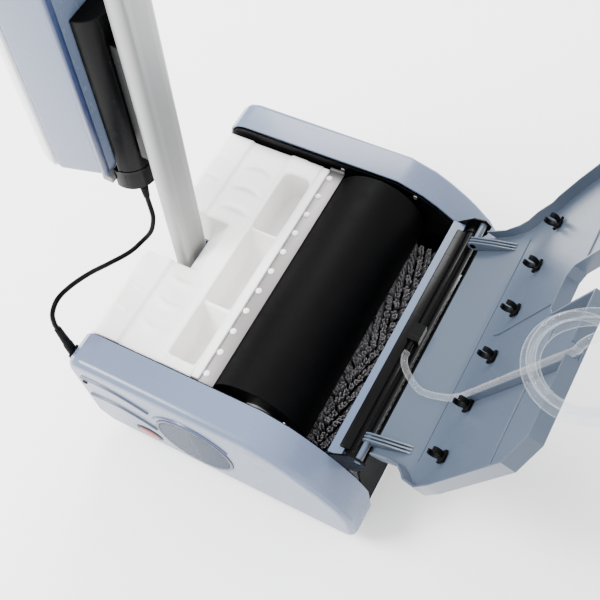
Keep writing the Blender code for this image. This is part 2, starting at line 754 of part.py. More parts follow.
def control_unit(axis, looks):
    """Pump housing behind the post, its collar, and the bracket that carries the tank."""
    top = UNIT_TOP - 0.060
    housing = rod_z(HOUSING_RADIUS, HOUSING_BOTTOM, top, y=HOUSING_Y, steps=32)
    made = add("pump_housing", housing, looks["black"], axis, smooth=True)
    cut(made, block((-0.1, UNIT_FRONT - GAP, 0), (0.1, 0.2, 1)), "housing_back")
    collar = rod_z(COLLAR_RADIUS, COLLAR_BOTTOM, HOUSING_BOTTOM - GAP, y=HOUSING_Y, steps=32)
    made = add("pump_collar", collar, looks["black"], axis, smooth=True)
    cut(made, block((-0.1, UNIT_FRONT + 0.012, 0), (0.1, 0.2, 1)), "collar_back")
    clamp_front, clamp_back = POST_DEPTH / 2 + GAP, HOUSING_Y - HOUSING_RADIUS
    clamp = block((-0.020, clamp_front, 0.320), (0.020, clamp_back - GAP, 0.540))
    add("post_clamp", clamp, looks["black"], axis)
    side = block(
        (-0.042, UNIT_FRONT + 0.012 + GAP, COLLAR_BOTTOM + 0.012),
        (0.030, UNIT_FRONT + 0.030, UNIT_BOTTOM_REAR + 0.010),
    )
    add("pump_side_block", side, looks["grey"], axis)


def solution_tank(axis, looks):
    """The lift-off clean water tank: pale body, white rear cover behind a thin seam, filler cap."""
    front, back = UNIT_FRONT, UNIT_FRONT + UNIT_DEPTH
    half = UNIT_WIDTH / 2
    outline = [
        (front, UNIT_BOTTOM_FRONT),
        (back, UNIT_BOTTOM_REAR),
        (back, UNIT_TOP),
        (front, UNIT_TOP),
    ]
    body = add("solution_tank", side_prism(outline, -half, half), looks["blue"], axis)
    round_off(body, 0.010)
    cover_front, cover_back = back + SEAM, back + SEAM + COVER_DEPTH
    cover = [
        (cover_front, UNIT_BOTTOM_REAR),
        (cover_back - 0.006, UNIT_BOTTOM_REAR + 0.014),
        (cover_back, UNIT_BOTTOM_REAR + 0.030),
        (cover_back, UNIT_TOP - 0.025),
        (cover_back - 0.006, UNIT_TOP - 0.010),
        (cover_front, UNIT_TOP),
    ]
    made = add("tank_cover", side_prism(cover, -half, half), looks["white"], axis)
    round_off(made, 0.006)
    cap_axis = empty("filler_axis", (0, (front + back) / 2, UNIT_TOP + GAP), axis)
    cap = [(0, 0), (0, 0.024), (0.014, 0.024), (0.018, 0.020), (0.018, 0)]
    add("filler_cap", turned(cap, 24, axis="Z"), looks["black"], cap_axis, smooth=True)


def round_off(target, width, segments=2):
    step = target.modifiers.new("round_edges", "BEVEL")
    step.width = width
    step.segments = segments
    step.limit_method = "ANGLE"


def grip(axis, looks):
    """The closed loop grip on top of the post, with its lever and its button."""
    base = POST_TOP + GAP
    housing = block((-0.045, -0.030, base), (0.045, 0.034, base + 0.060))
    head = add("grip_head", housing, looks["black"], axis)
    round_off(head, 0.008)
    outer = [(x, z) for x, z in rounded_rectangle(0.075, 0.060, 0.040, 6)]
    loop = extruded([(x, -0.014, z) for x, z in outer], (0, 0.028, 0))
    made = add("grip_loop", loop, looks["black"], axis, (0, 0.004, base + 0.060 + GAP + 0.060))
    inner = [(x, z) for x, z in rounded_rectangle(0.049, 0.034, 0.022, 6)]
    cut(made, extruded([(x, -0.05, z) for x, z in inner], (0, 0.1, 0)), "grip_opening")
    lever_axis = empty("lever_axis", (0, 0.0355, base + 0.050), axis)
    lever = [
        (0.0, 0.006),
        (0.004, -0.004),
        (0.016, -0.008),
        (0.018, -0.004),
        (0.008, 0.004),
        (0.006, 0.040),
        (0.0, 0.040),
    ]
    add("drive_lever", side_prism(lever, -0.030, 0.030), looks["red"], lever_axis)
    pocket = block((-0.0093, -0.040, base + 0.0207), (0.0093, -0.024, base + 0.0393))
    cut(head, pocket, "button_pocket")
    water = empty("water_axis", (0, -0.030, base + 0.030), axis)
    add("water_button", block((-0.009, -0.004, -0.009), (0.009, 0.0028, 0.009)), looks["grey"], water)


def wheel(name, side, tyre, root):
    axis = empty(f"{name}_axis", (side * WHEEL_X, PIVOT_Y - 0.003, WHEEL_RADIUS), root)
    half, hole = WHEEL_WIDTH / 2, AXLE_RADIUS + GAP
    profile = [
        (-half, hole),
        (-half, WHEEL_RADIUS - 0.003),
        (-half + 0.003, WHEEL_RADIUS),
        (half - 0.003, WHEEL_RADIUS),
        (half, WHEEL_RADIUS - 0.003),
        (half, hole),
    ]
    add(name, turned(profile, 36), tyre, axis, smooth=True)


def wheel_axle(steel, parent):
    """The axle through the rear crossbar's two plates."""
    y, reach = PIVOT_Y - 0.003, WHEEL_X + WHEEL_WIDTH / 2 + 0.006
    add("wheel_axle", rod_x(AXLE_RADIUS, -reach, reach, y=y, z=WHEEL_RADIUS), steel, parent, smooth=True)


def badge(look, parent):
    """A plain oval plate on the near casing's outer face."""
    x_outer = -(INNER + CASING_THICK) - GAP
    oval = [(0.026 * math.cos(a), 0.011 * math.sin(a)) for a in (math.radians(d) for d in range(0, 360, 15))]
    made = side_prism(oval, x_outer - 0.0015, x_outer)
    add("badge_plate", made, look, parent, (0, 0.170, 0.068))


def cable_gland(black, parent):
    """The elbow on the near casing's rear face, with the sleeve that the cable goes down into."""
    sleeve = [
        (GLAND_LOW, 0),
        (GLAND_LOW, 0.0075),
        (GLAND_LOW + 0.045, 0.0075),
        (GLAND_LOW + 0.050, 0.0065),
        (GLAND_TOP, 0.0052),
        (GLAND_TOP, 0),
    ]
    made = add("cable_gland", turned(sleeve, 16, axis="Z"), black, parent, (GLAND_X, GLAND_Y, 0), smooth=True)
    base = block((-0.011, CASING_REAR - GLAND_Y + GAP, GLAND_LOW), (0.011, 0.0, GLAND_LOW + 0.026))
    join_to(made, base, "gland_base")


def smooth_route(points, count):
    """A smooth curve through the chosen points, read at count even steps."""
    points = [Vector(p) for p in points]
    padded = [2 * points[0] - points[1], *points, 2 * points[-1] - points[-2]]
    fine = []
    for a, b, c, d in zip(padded, padded[1:], padded[2:], padded[3:]):
        for step in range(24):
            t = step / 24
            square = (2 * a - 5 * b + 4 * c - d) * t**2
            cube = (3 * b - a - 3 * c + d) * t**3
            fine.append(0.5 * (2 * b + (c - a) * t + square + cube))
    fine.append(points[-1])
    lengths = [0.0]
    for a, b in zip(fine, fine[1:]):
        lengths.append(lengths[-1] + (b - a).length)
    route, index = [], 0
    for step in range(count):
        wanted = lengths[-1] * step / (count - 1)
        while index < len(fine) - 2 and lengths[index + 1] < wanted:
            index += 1
        share = (wanted - lengths[index]) / max(lengths[index + 1] - lengths[index], 1e-9)
        route.append(fine[index].lerp(fine[index + 1], min(1.0, share)))
    return route


def cord(name, points, count, diameter, look, parent, resolution=2):
    """A round cord as a filled, bevelled poly curve."""
    curve = bpy.data.curves.new(name, "CURVE")
    curve.dimensions = "3D"
    curve.bevel_depth = diameter / 2
    curve.bevel_resolution = resolution
    curve.use_fill_caps = True
    spline = curve.splines.new("POLY")
    route = smooth_route(points, count)
    spline.points.add(len(route) - 1)
    for target, point in zip(spline.points, route):
        target.co = (*point, 1)
    curve.materials.append(look)
    made = bpy.data.objects.new(name, curve)
    bpy.context.scene.collection.objects.link(made)
    made.parent = parent
    return made


def strain_relief(look, axis):
    """The tapered sleeve under the collar that the cable leaves by."""
    top, x, y = COLLAR_BOTTOM - GAP, *CABLE_START
    low = top - RELIEF_LENGTH
    profile = [(low, 0), (low, 0.0048), (top - 0.004, 0.0062), (top, 0.0062), (top, 0)]
    add("strain_relief", turned(profile, 16, axis="Z"), look, axis, (x, y, 0), smooth=True)


def signal_cable(look, root):
    """The black cable from the collar's strain relief to the gland on the near casing."""
    lean = math.radians(HANDLE_LEAN_DEG)
    x, y = CABLE_START
    z = COLLAR_BOTTOM - 4 * GAP - RELIEF_LENGTH
    start = Vector((
        x,
        PIVOT_Y + y * math.cos(lean) - z * math.sin(lean),
        PIVOT_Z + y * math.sin(lean) + z * math.cos(lean),
    ))
    route = [
        start,
        start + 0.014 * Vector((0, math.sin(lean), -math.cos(lean))),
        (-0.0195, 0.2605, 0.290),
        (-0.023, 0.2605, 0.270),
        (-0.030, 0.269, 0.241),
        (-0.042, 0.284, 0.2205),
        (-0.069, 0.288, 0.2255),
        (-0.104, 0.2975, 0.2385),
        (-0.143, 0.2965, 0.268),
        (-0.183, 0.293, 0.294),
        (-0.212, 0.289, 0.3065),
        (-0.230, 0.289, 0.296),
        (GLAND_X + 0.0005, GLAND_Y, GLAND_TOP + 0.014),
        (GLAND_X, GLAND_Y, GLAND_TOP + 2 * GAP),
    ]
    cord("signal_cable", route, 30, CABLE_DIAMETER, look, root)


def lid_point(x, reach, height):
    """A point of the closed lid's frame, where it stands with the lid open."""
    swing = math.radians(LID_OPEN_DEG)
    return (
        x,
        LID_AXIS_Y + reach * math.cos(swing) - height * math.sin(swing),
        LID_AXIS_Z + reach * math.sin(swing) + height * math.cos(swing),
    )


def in_channel(reach, height):
    """A point over the tube channel's centreline, with the lid open."""
    (x0, y0), (x1, y1) = CHANNEL_START, CHANNEL_END
    return lid_point(x0 + (x1 - x0) * (reach - y0) / (y1 - y0), reach, height)


def solution_tube(look, root):
    """The clear tube from the spray inlet, along the lid's channel and over its free edge."""
    height = LID_INSIDE - CHANNEL_WALL - TUBE_DIAMETER / 2 - 0.0018
    y0, y1 = CHANNEL_START[1], CHANNEL_END[1]
    nozzle = BAR_Z + BAR_RADIUS + 0.0075
    route = [
        (-0.0310, BAR_Y, nozzle),
        (-0.0400, BAR_Y, nozzle),
        (-0.054, BAR_Y - 0.007, nozzle + 0.005),
        (-0.070, BAR_Y - 0.022, nozzle + 0.012),
        (-0.087, BAR_Y - 0.048, nozzle + 0.022),
        in_channel(y0 - 0.042, height - 0.0095),
        in_channel(y0 - 0.012, height - 0.0015),
        in_channel(y0 + 0.016, height),
        in_channel((y0 + y1) / 2, height),
        in_channel(y1 - 0.030, height),
        in_channel(y1 + 0.016, height),
        (-0.1090, -0.3975, 0.5495),
        (-0.1045, -0.4040, 0.5590),
        (-0.0985, -0.4065, 0.5625),
    ]
    cord("solution_tube", route, 40, TUBE_DIAMETER, look, root)
    ring = [
        (COIL_BUNDLE * math.cos(a), COIL_RADIUS + COIL_BUNDLE * math.sin(a))
        for a in (math.radians(step * 45 + 22.5) for step in range(8))
    ]
    add("tube_coil", turned(ring, 28, axis="Z"), look, root, COIL_CENTRE, smooth=True)
    fitting = [(0, 0), (0, 0.0062), (0.012, 0.0062), (0.014, 0.0045), (0.024, 0.0040), (0.024, 0)]
    add("tube_fitting", turned(fitting, 16), look, root, FITTING_PLACE, smooth=True)



def main():
    clear_scene()
    looks = {
        "blue": material("casing_blue", (0.42, 0.47, 0.57), 0.35),
        "white": material("tank_white", (0.88, 0.87, 0.86), 0.45),
        "black": material("black_plastic", (0.012, 0.012, 0.013), 0.4),
        "grey": material("grey_plastic", (0.33, 0.31, 0.29), 0.5),
        "steel": material("scraper_steel", (0.62, 0.60, 0.60), 0.3, 1.0),
        "bar": material("frame_steel", (0.25, 0.36, 0.50), 0.4, 0.3),
        "alloy": material("post_alloy", (0.58, 0.58, 0.56), 0.35, 0.8),
        "drum": material("drum_black", (0.006, 0.006, 0.007), 0.45),
        "bristle": material("bristle_grey", (0.09, 0.085, 0.085), 0.7),
        "rubber": material("rubber_black", (0.02, 0.02, 0.02), 0.8),
        "clear": material("clear_tube", (0.80, 0.82, 0.84), 0.2),
        "red": material("signal_red", (0.45, 0.06, 0.03), 0.4),
    }
    root = empty("machine", (0, MACHINE_Y, 0))
    near = casing("near_casing", -1, looks["blue"], root)
    x_outer = -(INNER + CASING_THICK)
    hole = rod_x(GRILLE_RADIUS, x_outer - 0.02, x_outer + 0.02, y=GRILLE_Y, z=GRILLE_Z, steps=40)
    cut(near, hole, "grille_hole")
    casing("far_casing", 1, looks["blue"], root)
    fan_grille(looks["grey"], root)
    side_plate("near_plate", -1, looks["black"], root)
    side_plate("far_plate", 1, looks["black"], root)
    shaft_carrier("bearing_carrier", -1, CARRIER_DEPTH, MOTOR_NECK_RADIUS + GAP, looks["black"], root)
    shaft_carrier("gear_case", 1, 0.044, DRUM_SHAFT_RADIUS + SHAFT_PLAY, looks["black"], root)
    brush("front_brush", -BRUSH_Y, looks["black"], looks["bristle"], root)
    brush("rear_brush", BRUSH_Y, looks["black"], looks["bristle"], root)
    drum(looks["drum"], looks["black"], root)
    drive_motor(looks["alloy"], root)
    frame_bars(looks["bar"], root)
    front_guard(looks["rubber"], root)
    spray_bar(looks["black"], root)
    lid(root, looks["blue"], looks["black"])
    recovery_tank(looks["white"], root)
    scraper(looks["white"], looks["steel"], root)
    pivot_pin(looks["steel"], root)
    park_latch(looks["black"], root)
    axis = handle(root, looks)
    solution_tank(axis, looks)
    wheel_axle(looks["steel"], root)
    wheel("wheel_near", -1, looks["rubber"], root)
    wheel("wheel_far", 1, looks["rubber"], root)
    badge(looks["red"], root)
    cable_gland(looks["black"], root)
    strain_relief(looks["black"], axis)
    signal_cable(looks["black"], root)
    solution_tube(looks["clear"], root)


main()
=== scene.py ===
# %% [markdown]
# # A floor washer, opened for cleaning
# The machine lies open: two side casings, a pick-up drum between them, a lift-off dirty water
# tank behind it and a lid tipped forward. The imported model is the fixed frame: it gives every
# place and every joint. This script dresses it with finer shapes and real finishes.

# %% The fixed frame
import json
import math
import random

import bmesh
import bpy
from mathutils import Matrix, Quaternion, Vector


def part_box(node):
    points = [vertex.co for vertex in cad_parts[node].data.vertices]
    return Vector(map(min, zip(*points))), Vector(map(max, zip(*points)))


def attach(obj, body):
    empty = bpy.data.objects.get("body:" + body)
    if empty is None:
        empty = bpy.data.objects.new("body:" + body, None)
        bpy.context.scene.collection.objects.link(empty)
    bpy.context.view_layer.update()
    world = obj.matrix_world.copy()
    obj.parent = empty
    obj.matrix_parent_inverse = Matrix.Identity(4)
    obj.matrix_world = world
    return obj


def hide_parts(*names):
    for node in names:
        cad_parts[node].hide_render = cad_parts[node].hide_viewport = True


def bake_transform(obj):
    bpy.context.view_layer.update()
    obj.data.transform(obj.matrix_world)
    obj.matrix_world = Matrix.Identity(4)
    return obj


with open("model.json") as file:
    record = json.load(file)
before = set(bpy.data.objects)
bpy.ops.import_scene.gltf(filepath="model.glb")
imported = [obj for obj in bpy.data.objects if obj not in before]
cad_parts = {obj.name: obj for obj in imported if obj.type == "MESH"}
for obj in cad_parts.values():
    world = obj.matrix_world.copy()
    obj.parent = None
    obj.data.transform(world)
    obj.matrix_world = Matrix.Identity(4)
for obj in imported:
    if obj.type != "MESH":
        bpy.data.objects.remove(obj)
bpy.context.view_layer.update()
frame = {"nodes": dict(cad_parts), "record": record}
record = frame["record"]
BODY_OF = {node: body for body, nodes in record["behaviour"]["bodies"].items() for node in nodes}

# %% [markdown]
# ## The view
# A long lens looks down on the open machine from the front left. The camera is aimed at a point
# between the drum and the tank and then rolled, so that the machine stands askew in view.

# %% Camera
CAMERA_PLACE = Vector((-0.595, -0.463, 1.457))
CAMERA_AIM = Vector((-0.0218, 0.0272, 0.200))
CAMERA_ROLL = math.radians(-13.7)

lens = bpy.data.cameras.new("camera")
lens.lens = 59.94
lens.sensor_width = 36
camera = bpy.data.objects.new("camera", lens)
bpy.context.scene.collection.objects.link(camera)
camera.location = CAMERA_PLACE
camera.rotation_mode = "QUATERNION"
level_aim = (CAMERA_PLACE - CAMERA_AIM).to_track_quat("Z", "Y")
camera.rotation_quaternion = level_aim @ Quaternion((0, 0, 1), CAMERA_ROLL)
bpy.context.scene.camera = camera
print("camera to aim point: %.3f m" % (CAMERA_PLACE - CAMERA_AIM).length)

# %% [markdown]
# ## Floor and light
# A white floor and three large soft lamps make a product studio. A bright even world fills the
# shadows, so that white plastic stays white and glossy plastic still has something to reflect.

# %% Floor, lamps and world
FLOOR_SIZE = 14.0
bm = bmesh.new()
bmesh.ops.create_grid(bm, x_segments=1, y_segments=1, size=FLOOR_SIZE / 2)
floor_mesh = bpy.data.meshes.new("floor")
bm.to_mesh(floor_mesh)
bm.free()
floor = bpy.data.objects.new("floor", floor_mesh)
bpy.context.scene.collection.objects.link(floor)


def softbox(name, place, aim, size, watts):
    lamp = bpy.data.lights.new(name, "AREA")
    lamp.shape = "RECTANGLE"
    lamp.size, lamp.size_y = size
    lamp.energy = watts
    made = bpy.data.objects.new(name, lamp)
    made.location = place
    made.rotation_mode = "QUATERNION"
    made.rotation_quaternion = (Vector(place) - Vector(aim)).to_track_quat("Z", "Y")
    bpy.context.scene.collection.objects.link(made)


softbox("key_softbox", (-1.1, 1.7, 2.6), (0, 0, 0.2), (1.2, 1.2), 210)
softbox("rim_softbox", (1.9, 0.9, 2.0), (0, 0, 0.3), (1.0, 1.0), 95)
softbox("front_softbox", (-0.6, -2.4, 1.3), (0, 0, 0.2), (2.0, 1.0), 10)

world = bpy.data.worlds.new("studio")
bpy.context.scene.world = world
world.use_nodes = True
world.node_tree.nodes["Background"].inputs["Color"].default_value = (1, 1, 1, 1)
world.node_tree.nodes["Background"].inputs["Strength"].default_value = 2.3

# %% [markdown]
# ## Sums on sockets
# A finish is a sum: grain plus scratches, held back by a mask. Written as nodes it is hard to
# read, so one small class wraps a socket and lets plain Python operators add the Math nodes.


# %% The shader helper
class Socket:
    """An output in a material's node tree, which can be added, scaled and masked."""

    def __init__(self, tree, output):
        self.tree = tree
        self.output = output

    def combine(self, operation, first, second=0.0):
        return node(self.tree, "ShaderNodeMath", {"operation": operation}, {0: first, 1: second})

    def __add__(self, other):
        return self.combine("ADD", self, other)

    def __radd__(self, other):
        return self.combine("ADD", other, self)

    def __sub__(self, other):
        return self.combine("SUBTRACT", self, other)

    def __rsub__(self, other):
        return self.combine("SUBTRACT", other, self)

    def __mul__(self, other):
        return self.combine("MULTIPLY", self, other)

    def __rmul__(self, other):
        return self.combine("MULTIPLY", other, self)

    def __pow__(self, other):
        return self.combine("POWER", self, other)

    def __abs__(self):
        return self.combine("ABSOLUTE", self)

    def above(self, edge, soft=0.0):
        """1 where the value is over edge, 0 under it, with a soft step between."""
        settings = {"clamp": True}
        values = {"Value": self, "From Min": edge - soft, "From Max": edge + soft + 1e-6}
        return node(self.tree, "ShaderNodeMapRange", settings, values)


def node(tree, kind, settings, values, output=0):
    """Add a node: its settings first, then the values or links of its sockets."""
    made = tree.nodes.new(kind)
    for key, value in settings.items():
        setattr(made, key, value)
    for key, value in values.items():
        if isinstance(value, Socket):
            tree.links.new(value.output, made.inputs[key])
        else:
            made.inputs[key].default_value = value
    return Socket(tree, made.outputs[output])


MIX_FACTOR, MIX_A, MIX_B, MIX_COLOUR = 0, 6, 7, 2


class Finish:
    """A material under construction, with its Principled shader."""

    def __init__(self, name, colour, roughness, **fixed):
        self.material = bpy.data.materials.new(name)
        self.material.use_nodes = True
        self.material.diffuse_color = (*colour, 1)
        self.tree = self.material.node_tree
        self.shader = self.tree.nodes["Principled BSDF"]
        self.set("Base Color", (*colour, 1))
        self.set("Roughness", roughness)
        for key, value in fixed.items():
            self.set(key.replace("_", " "), value)
        self.place = node(self.tree, "ShaderNodeTexCoord", {}, {}, "Object")

    def set(self, socket, value):
        if isinstance(value, Socket):
            self.tree.links.new(value.output, self.shader.inputs[socket])
        else:
            self.shader.inputs[socket].default_value = value

    def noise(self, scale, detail=3.0, stretch=(1, 1, 1)):
        """Cloudy noise from 0 to 1, with a size in marks per metre."""
        mapped = node(self.tree, "ShaderNodeMapping", {}, {"Vector": self.place, "Scale": stretch})
        values = {"Vector": mapped, "Scale": scale, "Detail": detail}
        return node(self.tree, "ShaderNodeTexNoise", {}, values)

    def axis(self, letter):
        return node(self.tree, "ShaderNodeSeparateXYZ", {}, {0: self.place}, letter)

    def mix(self, factor, first, second):
        """Between two colours."""
        colours = [c if isinstance(c, Socket) else (*c, 1) for c in (first, second)]
        values = {MIX_FACTOR: factor, MIX_A: colours[0], MIX_B: colours[1]}
        return node(self.tree, "ShaderNodeMix", {"data_type": "RGBA"}, values, MIX_COLOUR)

    def bump(self, height, strength, distance=0.0005):
        values = {"Height": height, "Strength": strength, "Distance": distance}
        self.set("Normal", node(self.tree, "ShaderNodeBump", {}, values))


def shade(colour, factor):
    return tuple(channel * factor for channel in colour)


# %% [markdown]
# ## Moulded plastics
# Most of the machine is injection-moulded ABS. It isn't one flat colour: the surface has a fine
# spark-eroded grain, soft cloudy patches from handling, and hairline scuffs that catch the light.


# %% Moulded plastic finishes
def moulded(name, colour, roughness, grain=0.12, coat=0.0, scuff=0.5, shine=0.5):
    """A moulded plastic with fine grain, cloudy handling marks and hairline scuffs."""
    made = Finish(name, colour, roughness, Coat_Weight=coat, Coat_Roughness=0.12)
    made.shader.inputs["Specular IOR Level"].default_value = shine
    cloud = made.noise(9, 4)
    hairs = made.noise(160, 2, stretch=(1, 0.06, 0.3)).above(0.66, 0.05) * scuff
    tone = cloud * 0.7 + 0.15
    made.set("Base Color", made.mix(tone, shade(colour, 0.94), shade(colour, 1.05)))
    made.set("Roughness", roughness + (cloud - 0.5) * 0.10 + hairs * 0.12)
    made.bump(made.noise(2600, 1) + hairs * 0.6, grain, 0.0002)
    return made.material


CASING_BLUE = (0.105, 0.135, 0.205)
LID_BLUE = (0.047, 0.062, 0.088)
casing_blue = moulded("casing_blue_abs", CASING_BLUE, 0.26, grain=0.05, coat=0.10, shine=0.26)
lid_blue = moulded("lid_blue_abs", LID_BLUE, 0.32, grain=0.08, coat=0.06, shine=0.32)
edge_blue = moulded("edge_blue_abs", (0.018, 0.032, 0.095), 0.30, grain=0.05, coat=0.2)
cover_white = moulded("cover_white_abs", (0.80, 0.81, 0.83), 0.28, grain=0.05, coat=0.3)
black_abs = moulded("black_abs", (0.0025, 0.0025, 0.0028), 0.42, grain=0.25, shine=0.05)
gloss_black = moulded("gloss_black_abs", (0.0018, 0.0018, 0.0020), 0.24, grain=0.04, shine=0.07)
# Painted shade: a darker casing blue for the swoosh beads, standing for the shade in their grooves.
shadow_blue = moulded("shadow_blue_abs", (0.030, 0.041, 0.072), 0.35, grain=0.05)
grey_abs = moulded("grey_abs", (0.16, 0.16, 0.165), 0.42, grain=0.25)
louvre_grey = moulded("louvre_grey_abs", (0.060, 0.073, 0.102), 0.38, grain=0.15, shine=0.25)
RED = (0.26, 0.016, 0.008)
signal_red = moulded("signal_red_abs", RED, 0.30, grain=0.04, coat=0.15, shine=0.25)

# %% [markdown]
# ## Blow-moulded polyethylene
# The dirty water tank is milky: light goes in and comes out beside where it went in. Subsurface
# scattering gives that glow, and a slow unevenness in the surface comes from the soft mould.

# %% Polyethylene
TANK_WHITE = (0.90, 0.885, 0.875)
milk = Finish("milky_polyethylene", TANK_WHITE, 0.42, Subsurface_Weight=0.35, Subsurface_Scale=0.02)
milk.shader.inputs["Subsurface Radius"].default_value = (1.0, 0.85, 0.75)
patches = milk.noise(14, 3)
specks = milk.noise(420, 2).above(0.70, 0.03)
milk.set("Base Color", milk.mix(patches, shade(TANK_WHITE, 0.965), TANK_WHITE))
milk.set("Roughness", 0.36 + patches * 0.14 + specks * 0.06)
milk.bump(milk.noise(55, 2) + milk.noise(900, 2) * 0.05, 0.10, 0.002)
milky_white = milk.material

# %% [markdown]
# ## Metals
# The scraper strip and the pins are rolled stainless steel, whose fine lines all run one way:
# noise stretched along them does that. The post is an anodised extrusion, with a darker band
# painted down its middle as painted shade, and the crossbars are blue powder-coated sheet.


# %% Metal finishes
def brushed(name, colour, roughness, stretch, metallic=1.0):
    """Rolled or brushed metal whose lines run along the squeezed axis."""
    made = Finish(name, colour, roughness, Metallic=metallic)
    lines = made.noise(1500, 2, stretch=stretch)
    smear = made.noise(18, 3)
    made.set("Base Color", made.mix(lines, shade(colour, 0.86), shade(colour, 1.08)))
    made.set("Roughness", roughness + lines * 0.12 + smear * 0.08)
    made.bump(lines, 0.08, 0.0002)
    return made


strip_steel = brushed("rolled_steel", (0.180, 0.172, 0.170), 0.36, (0.03, 1, 1), 0.55).material
pin_steel = brushed("turned_steel", (0.60, 0.60, 0.61), 0.25, (1, 0.1, 0.1)).material
anodised = brushed("anodised_post", (0.34, 0.345, 0.34), 0.34, (1, 1, 0.02), 0.45)
# Painted shade: a darker band down the middle of the post.
painted_shade_band = 1 - abs(anodised.axis("X")).above(0.0125, 0.0006)
shaded_band_tone = anodised.mix(painted_shade_band * 0.30, (0.33, 0.335, 0.33), (0.20, 0.205, 0.205))
anodised.set("Base Color", shaded_band_tone)
post_alloy = anodised.material

POWDER_DARK = (0.040, 0.066, 0.122)
POWDER_PALE = (0.052, 0.084, 0.148)
powder = Finish("powder_coated_steel", POWDER_PALE, 0.34, Coat_Weight=0.25)
orange_peel = powder.noise(520, 2)
powder.set("Base Color", powder.mix(powder.noise(20, 3), POWDER_DARK, POWDER_PALE))
powder.bump(orange_peel, 0.18, 0.0004)
powder_blue = powder.material

# %% [markdown]
# ## Rubber, brush fibre, cable and clear tube
# The drum has a satin rubber skin with faint rings round it from turning. The brush fibres are
# painted nearly black at the root and grey at the tip: painted shade deep among the fibres. Their
# colour follows the distance from the axis. The clear tube lets light through at its middle and
# shows pale at its edges.


# %% Rubber and fibre
def rubbery(name, colour, roughness, stretch=(1, 1, 1), scale=700):
    made = Finish(name, colour, roughness)
    made.shader.inputs["Specular IOR Level"].default_value = 0.04
    rings = made.noise(scale, 2, stretch=stretch)
    dust = made.noise(30, 4).above(0.60, 0.12)
    made.set("Base Color", made.mix(dust * 0.25, colour, shade(colour, 2.2)))
    made.set("Roughness", roughness + rings * 0.10 + dust * 0.08)
    made.bump(rings, 0.14, 0.0003)
    return made.material


drum_skin = rubbery("drum_skin", (0.0012, 0.0012, 0.0014), 0.45, (1, 0.04, 0.04))
soft_rubber = rubbery("soft_rubber", (0.0050, 0.0050, 0.0054), 0.62)
cable_black = rubbery("cable_jacket", (0.0022, 0.0022, 0.0024), 0.36)


def fibre(name, axis_y, axis_z, root, tip):
    """Brush fibre with painted shade: nearly black at its root, paling to grey at its tip."""
    made = Finish(name, (0.16, 0.155, 0.16), 0.55)
    across, up = made.axis("Y") - axis_y, made.axis("Z") - axis_z
    radius = (across * across + up * up) ** 0.5
    values = {"Value": radius, "From Min": root, "From Max": tip}
    # Painted shade: the fibre darkens towards the core, where the fibres shade each other.
    pale = node(made.tree, "ShaderNodeMapRange", {}, values)
    streak = made.noise(300, 2) * 0.5 + 0.5
    made.set("Base Color", made.mix(pale * streak, (0.0050, 0.0048, 0.0052), (0.50, 0.48, 0.50)))
    return made.material


clear = Finish("clear_tube", (0.62, 0.63, 0.65), 0.08, Coat_Weight=0.6, Coat_Roughness=0.03)
facing = node(clear.tree, "ShaderNodeLayerWeight", {}, {"Blend": 0.42}, "Facing")
see_through = node(clear.tree, "ShaderNodeBsdfTransparent", {}, {"Color": (0.94, 0.96, 0.97, 1)})
body_shader = Socket(clear.tree, clear.shader.outputs[0])
opacity = 0.02 + facing * facing * facing * 0.75 + clear.noise(60, 2) * 0.03
wall = node(clear.tree, "ShaderNodeMixShader", {}, {0: opacity, 1: see_through, 2: body_shader})
clear.tree.links.new(wall.output, clear.tree.nodes["Material Output"].inputs["Surface"])
clear_pvc = clear.material

floor_look = Finish("studio_floor", (0.97, 0.97, 0.97), 0.8)
floor_mesh.materials.append(floor_look.material)
print("finishes:", len(bpy.data.materials))

# %% [markdown]
# ## From CAD to finished piece
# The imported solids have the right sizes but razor-sharp edges. A copy of a solid, with its loose
# triangles merged and its flats dissolved, can be bevelled: a moulded edge is never sharp, and
# the thin highlight that it catches is most of what makes it look real.


# %% Finishing helpers
def shown(name, bm, look, body, stands_for=(), crease=38):
    """A finished piece from a bmesh: in place, on its body, with its finish."""
    mesh = bpy.data.meshes.new(name)
    bm.to_mesh(mesh)
    bm.free()
    mesh.shade_smooth()
    mesh.set_sharp_from_angle(angle=math.radians(crease))
    mesh.materials.append(look)
    made = bpy.data.objects.new(name, mesh)
    bpy.context.scene.collection.objects.link(made)
    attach(made, body)
    if stands_for:
        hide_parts(*stands_for)
    return made


def merged_copy(name):
    """A CAD solid as a bmesh with whole flat faces."""
    bm = bmesh.new()
    bm.from_mesh(frame["nodes"][name].data)
    bmesh.ops.remove_doubles(bm, verts=bm.verts, dist=0.00002)
    flat = math.radians(1)
    bmesh.ops.dissolve_limit(bm, angle_limit=flat, verts=bm.verts, edges=bm.edges)
    return bm


def soften(bm, width, segments=2, angle=30):
    """Bevel every edge sharper than angle."""
    inner = [e for e in bm.edges if len(e.link_faces) == 2]
    sharp = [e for e in inner if e.calc_face_angle(0) > math.radians(angle)]
    bmesh.ops.bevel(
        bm,
        geom=sharp,
        offset=width,
        segments=segments,
        profile=0.5,
        affect="EDGES",
        clamp_overlap=True,
        material=-1,
    )


def dressed(name, look, width=0.0008, segments=2):
    """A CAD solid with softened edges and a real finish, in the solid's place."""
    bm = merged_copy(name)
    if width:
        soften(bm, width, segments)
    made = shown(f"{name}_skin", bm, look, BODY_OF[name], [name])
    level = made.modifiers.new("flat_faces", "WEIGHTED_NORMAL")
    level.keep_sharp = True
    return made


def centre(name):
    low, high = (Vector(corner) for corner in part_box(name))
    return (low + high) / 2


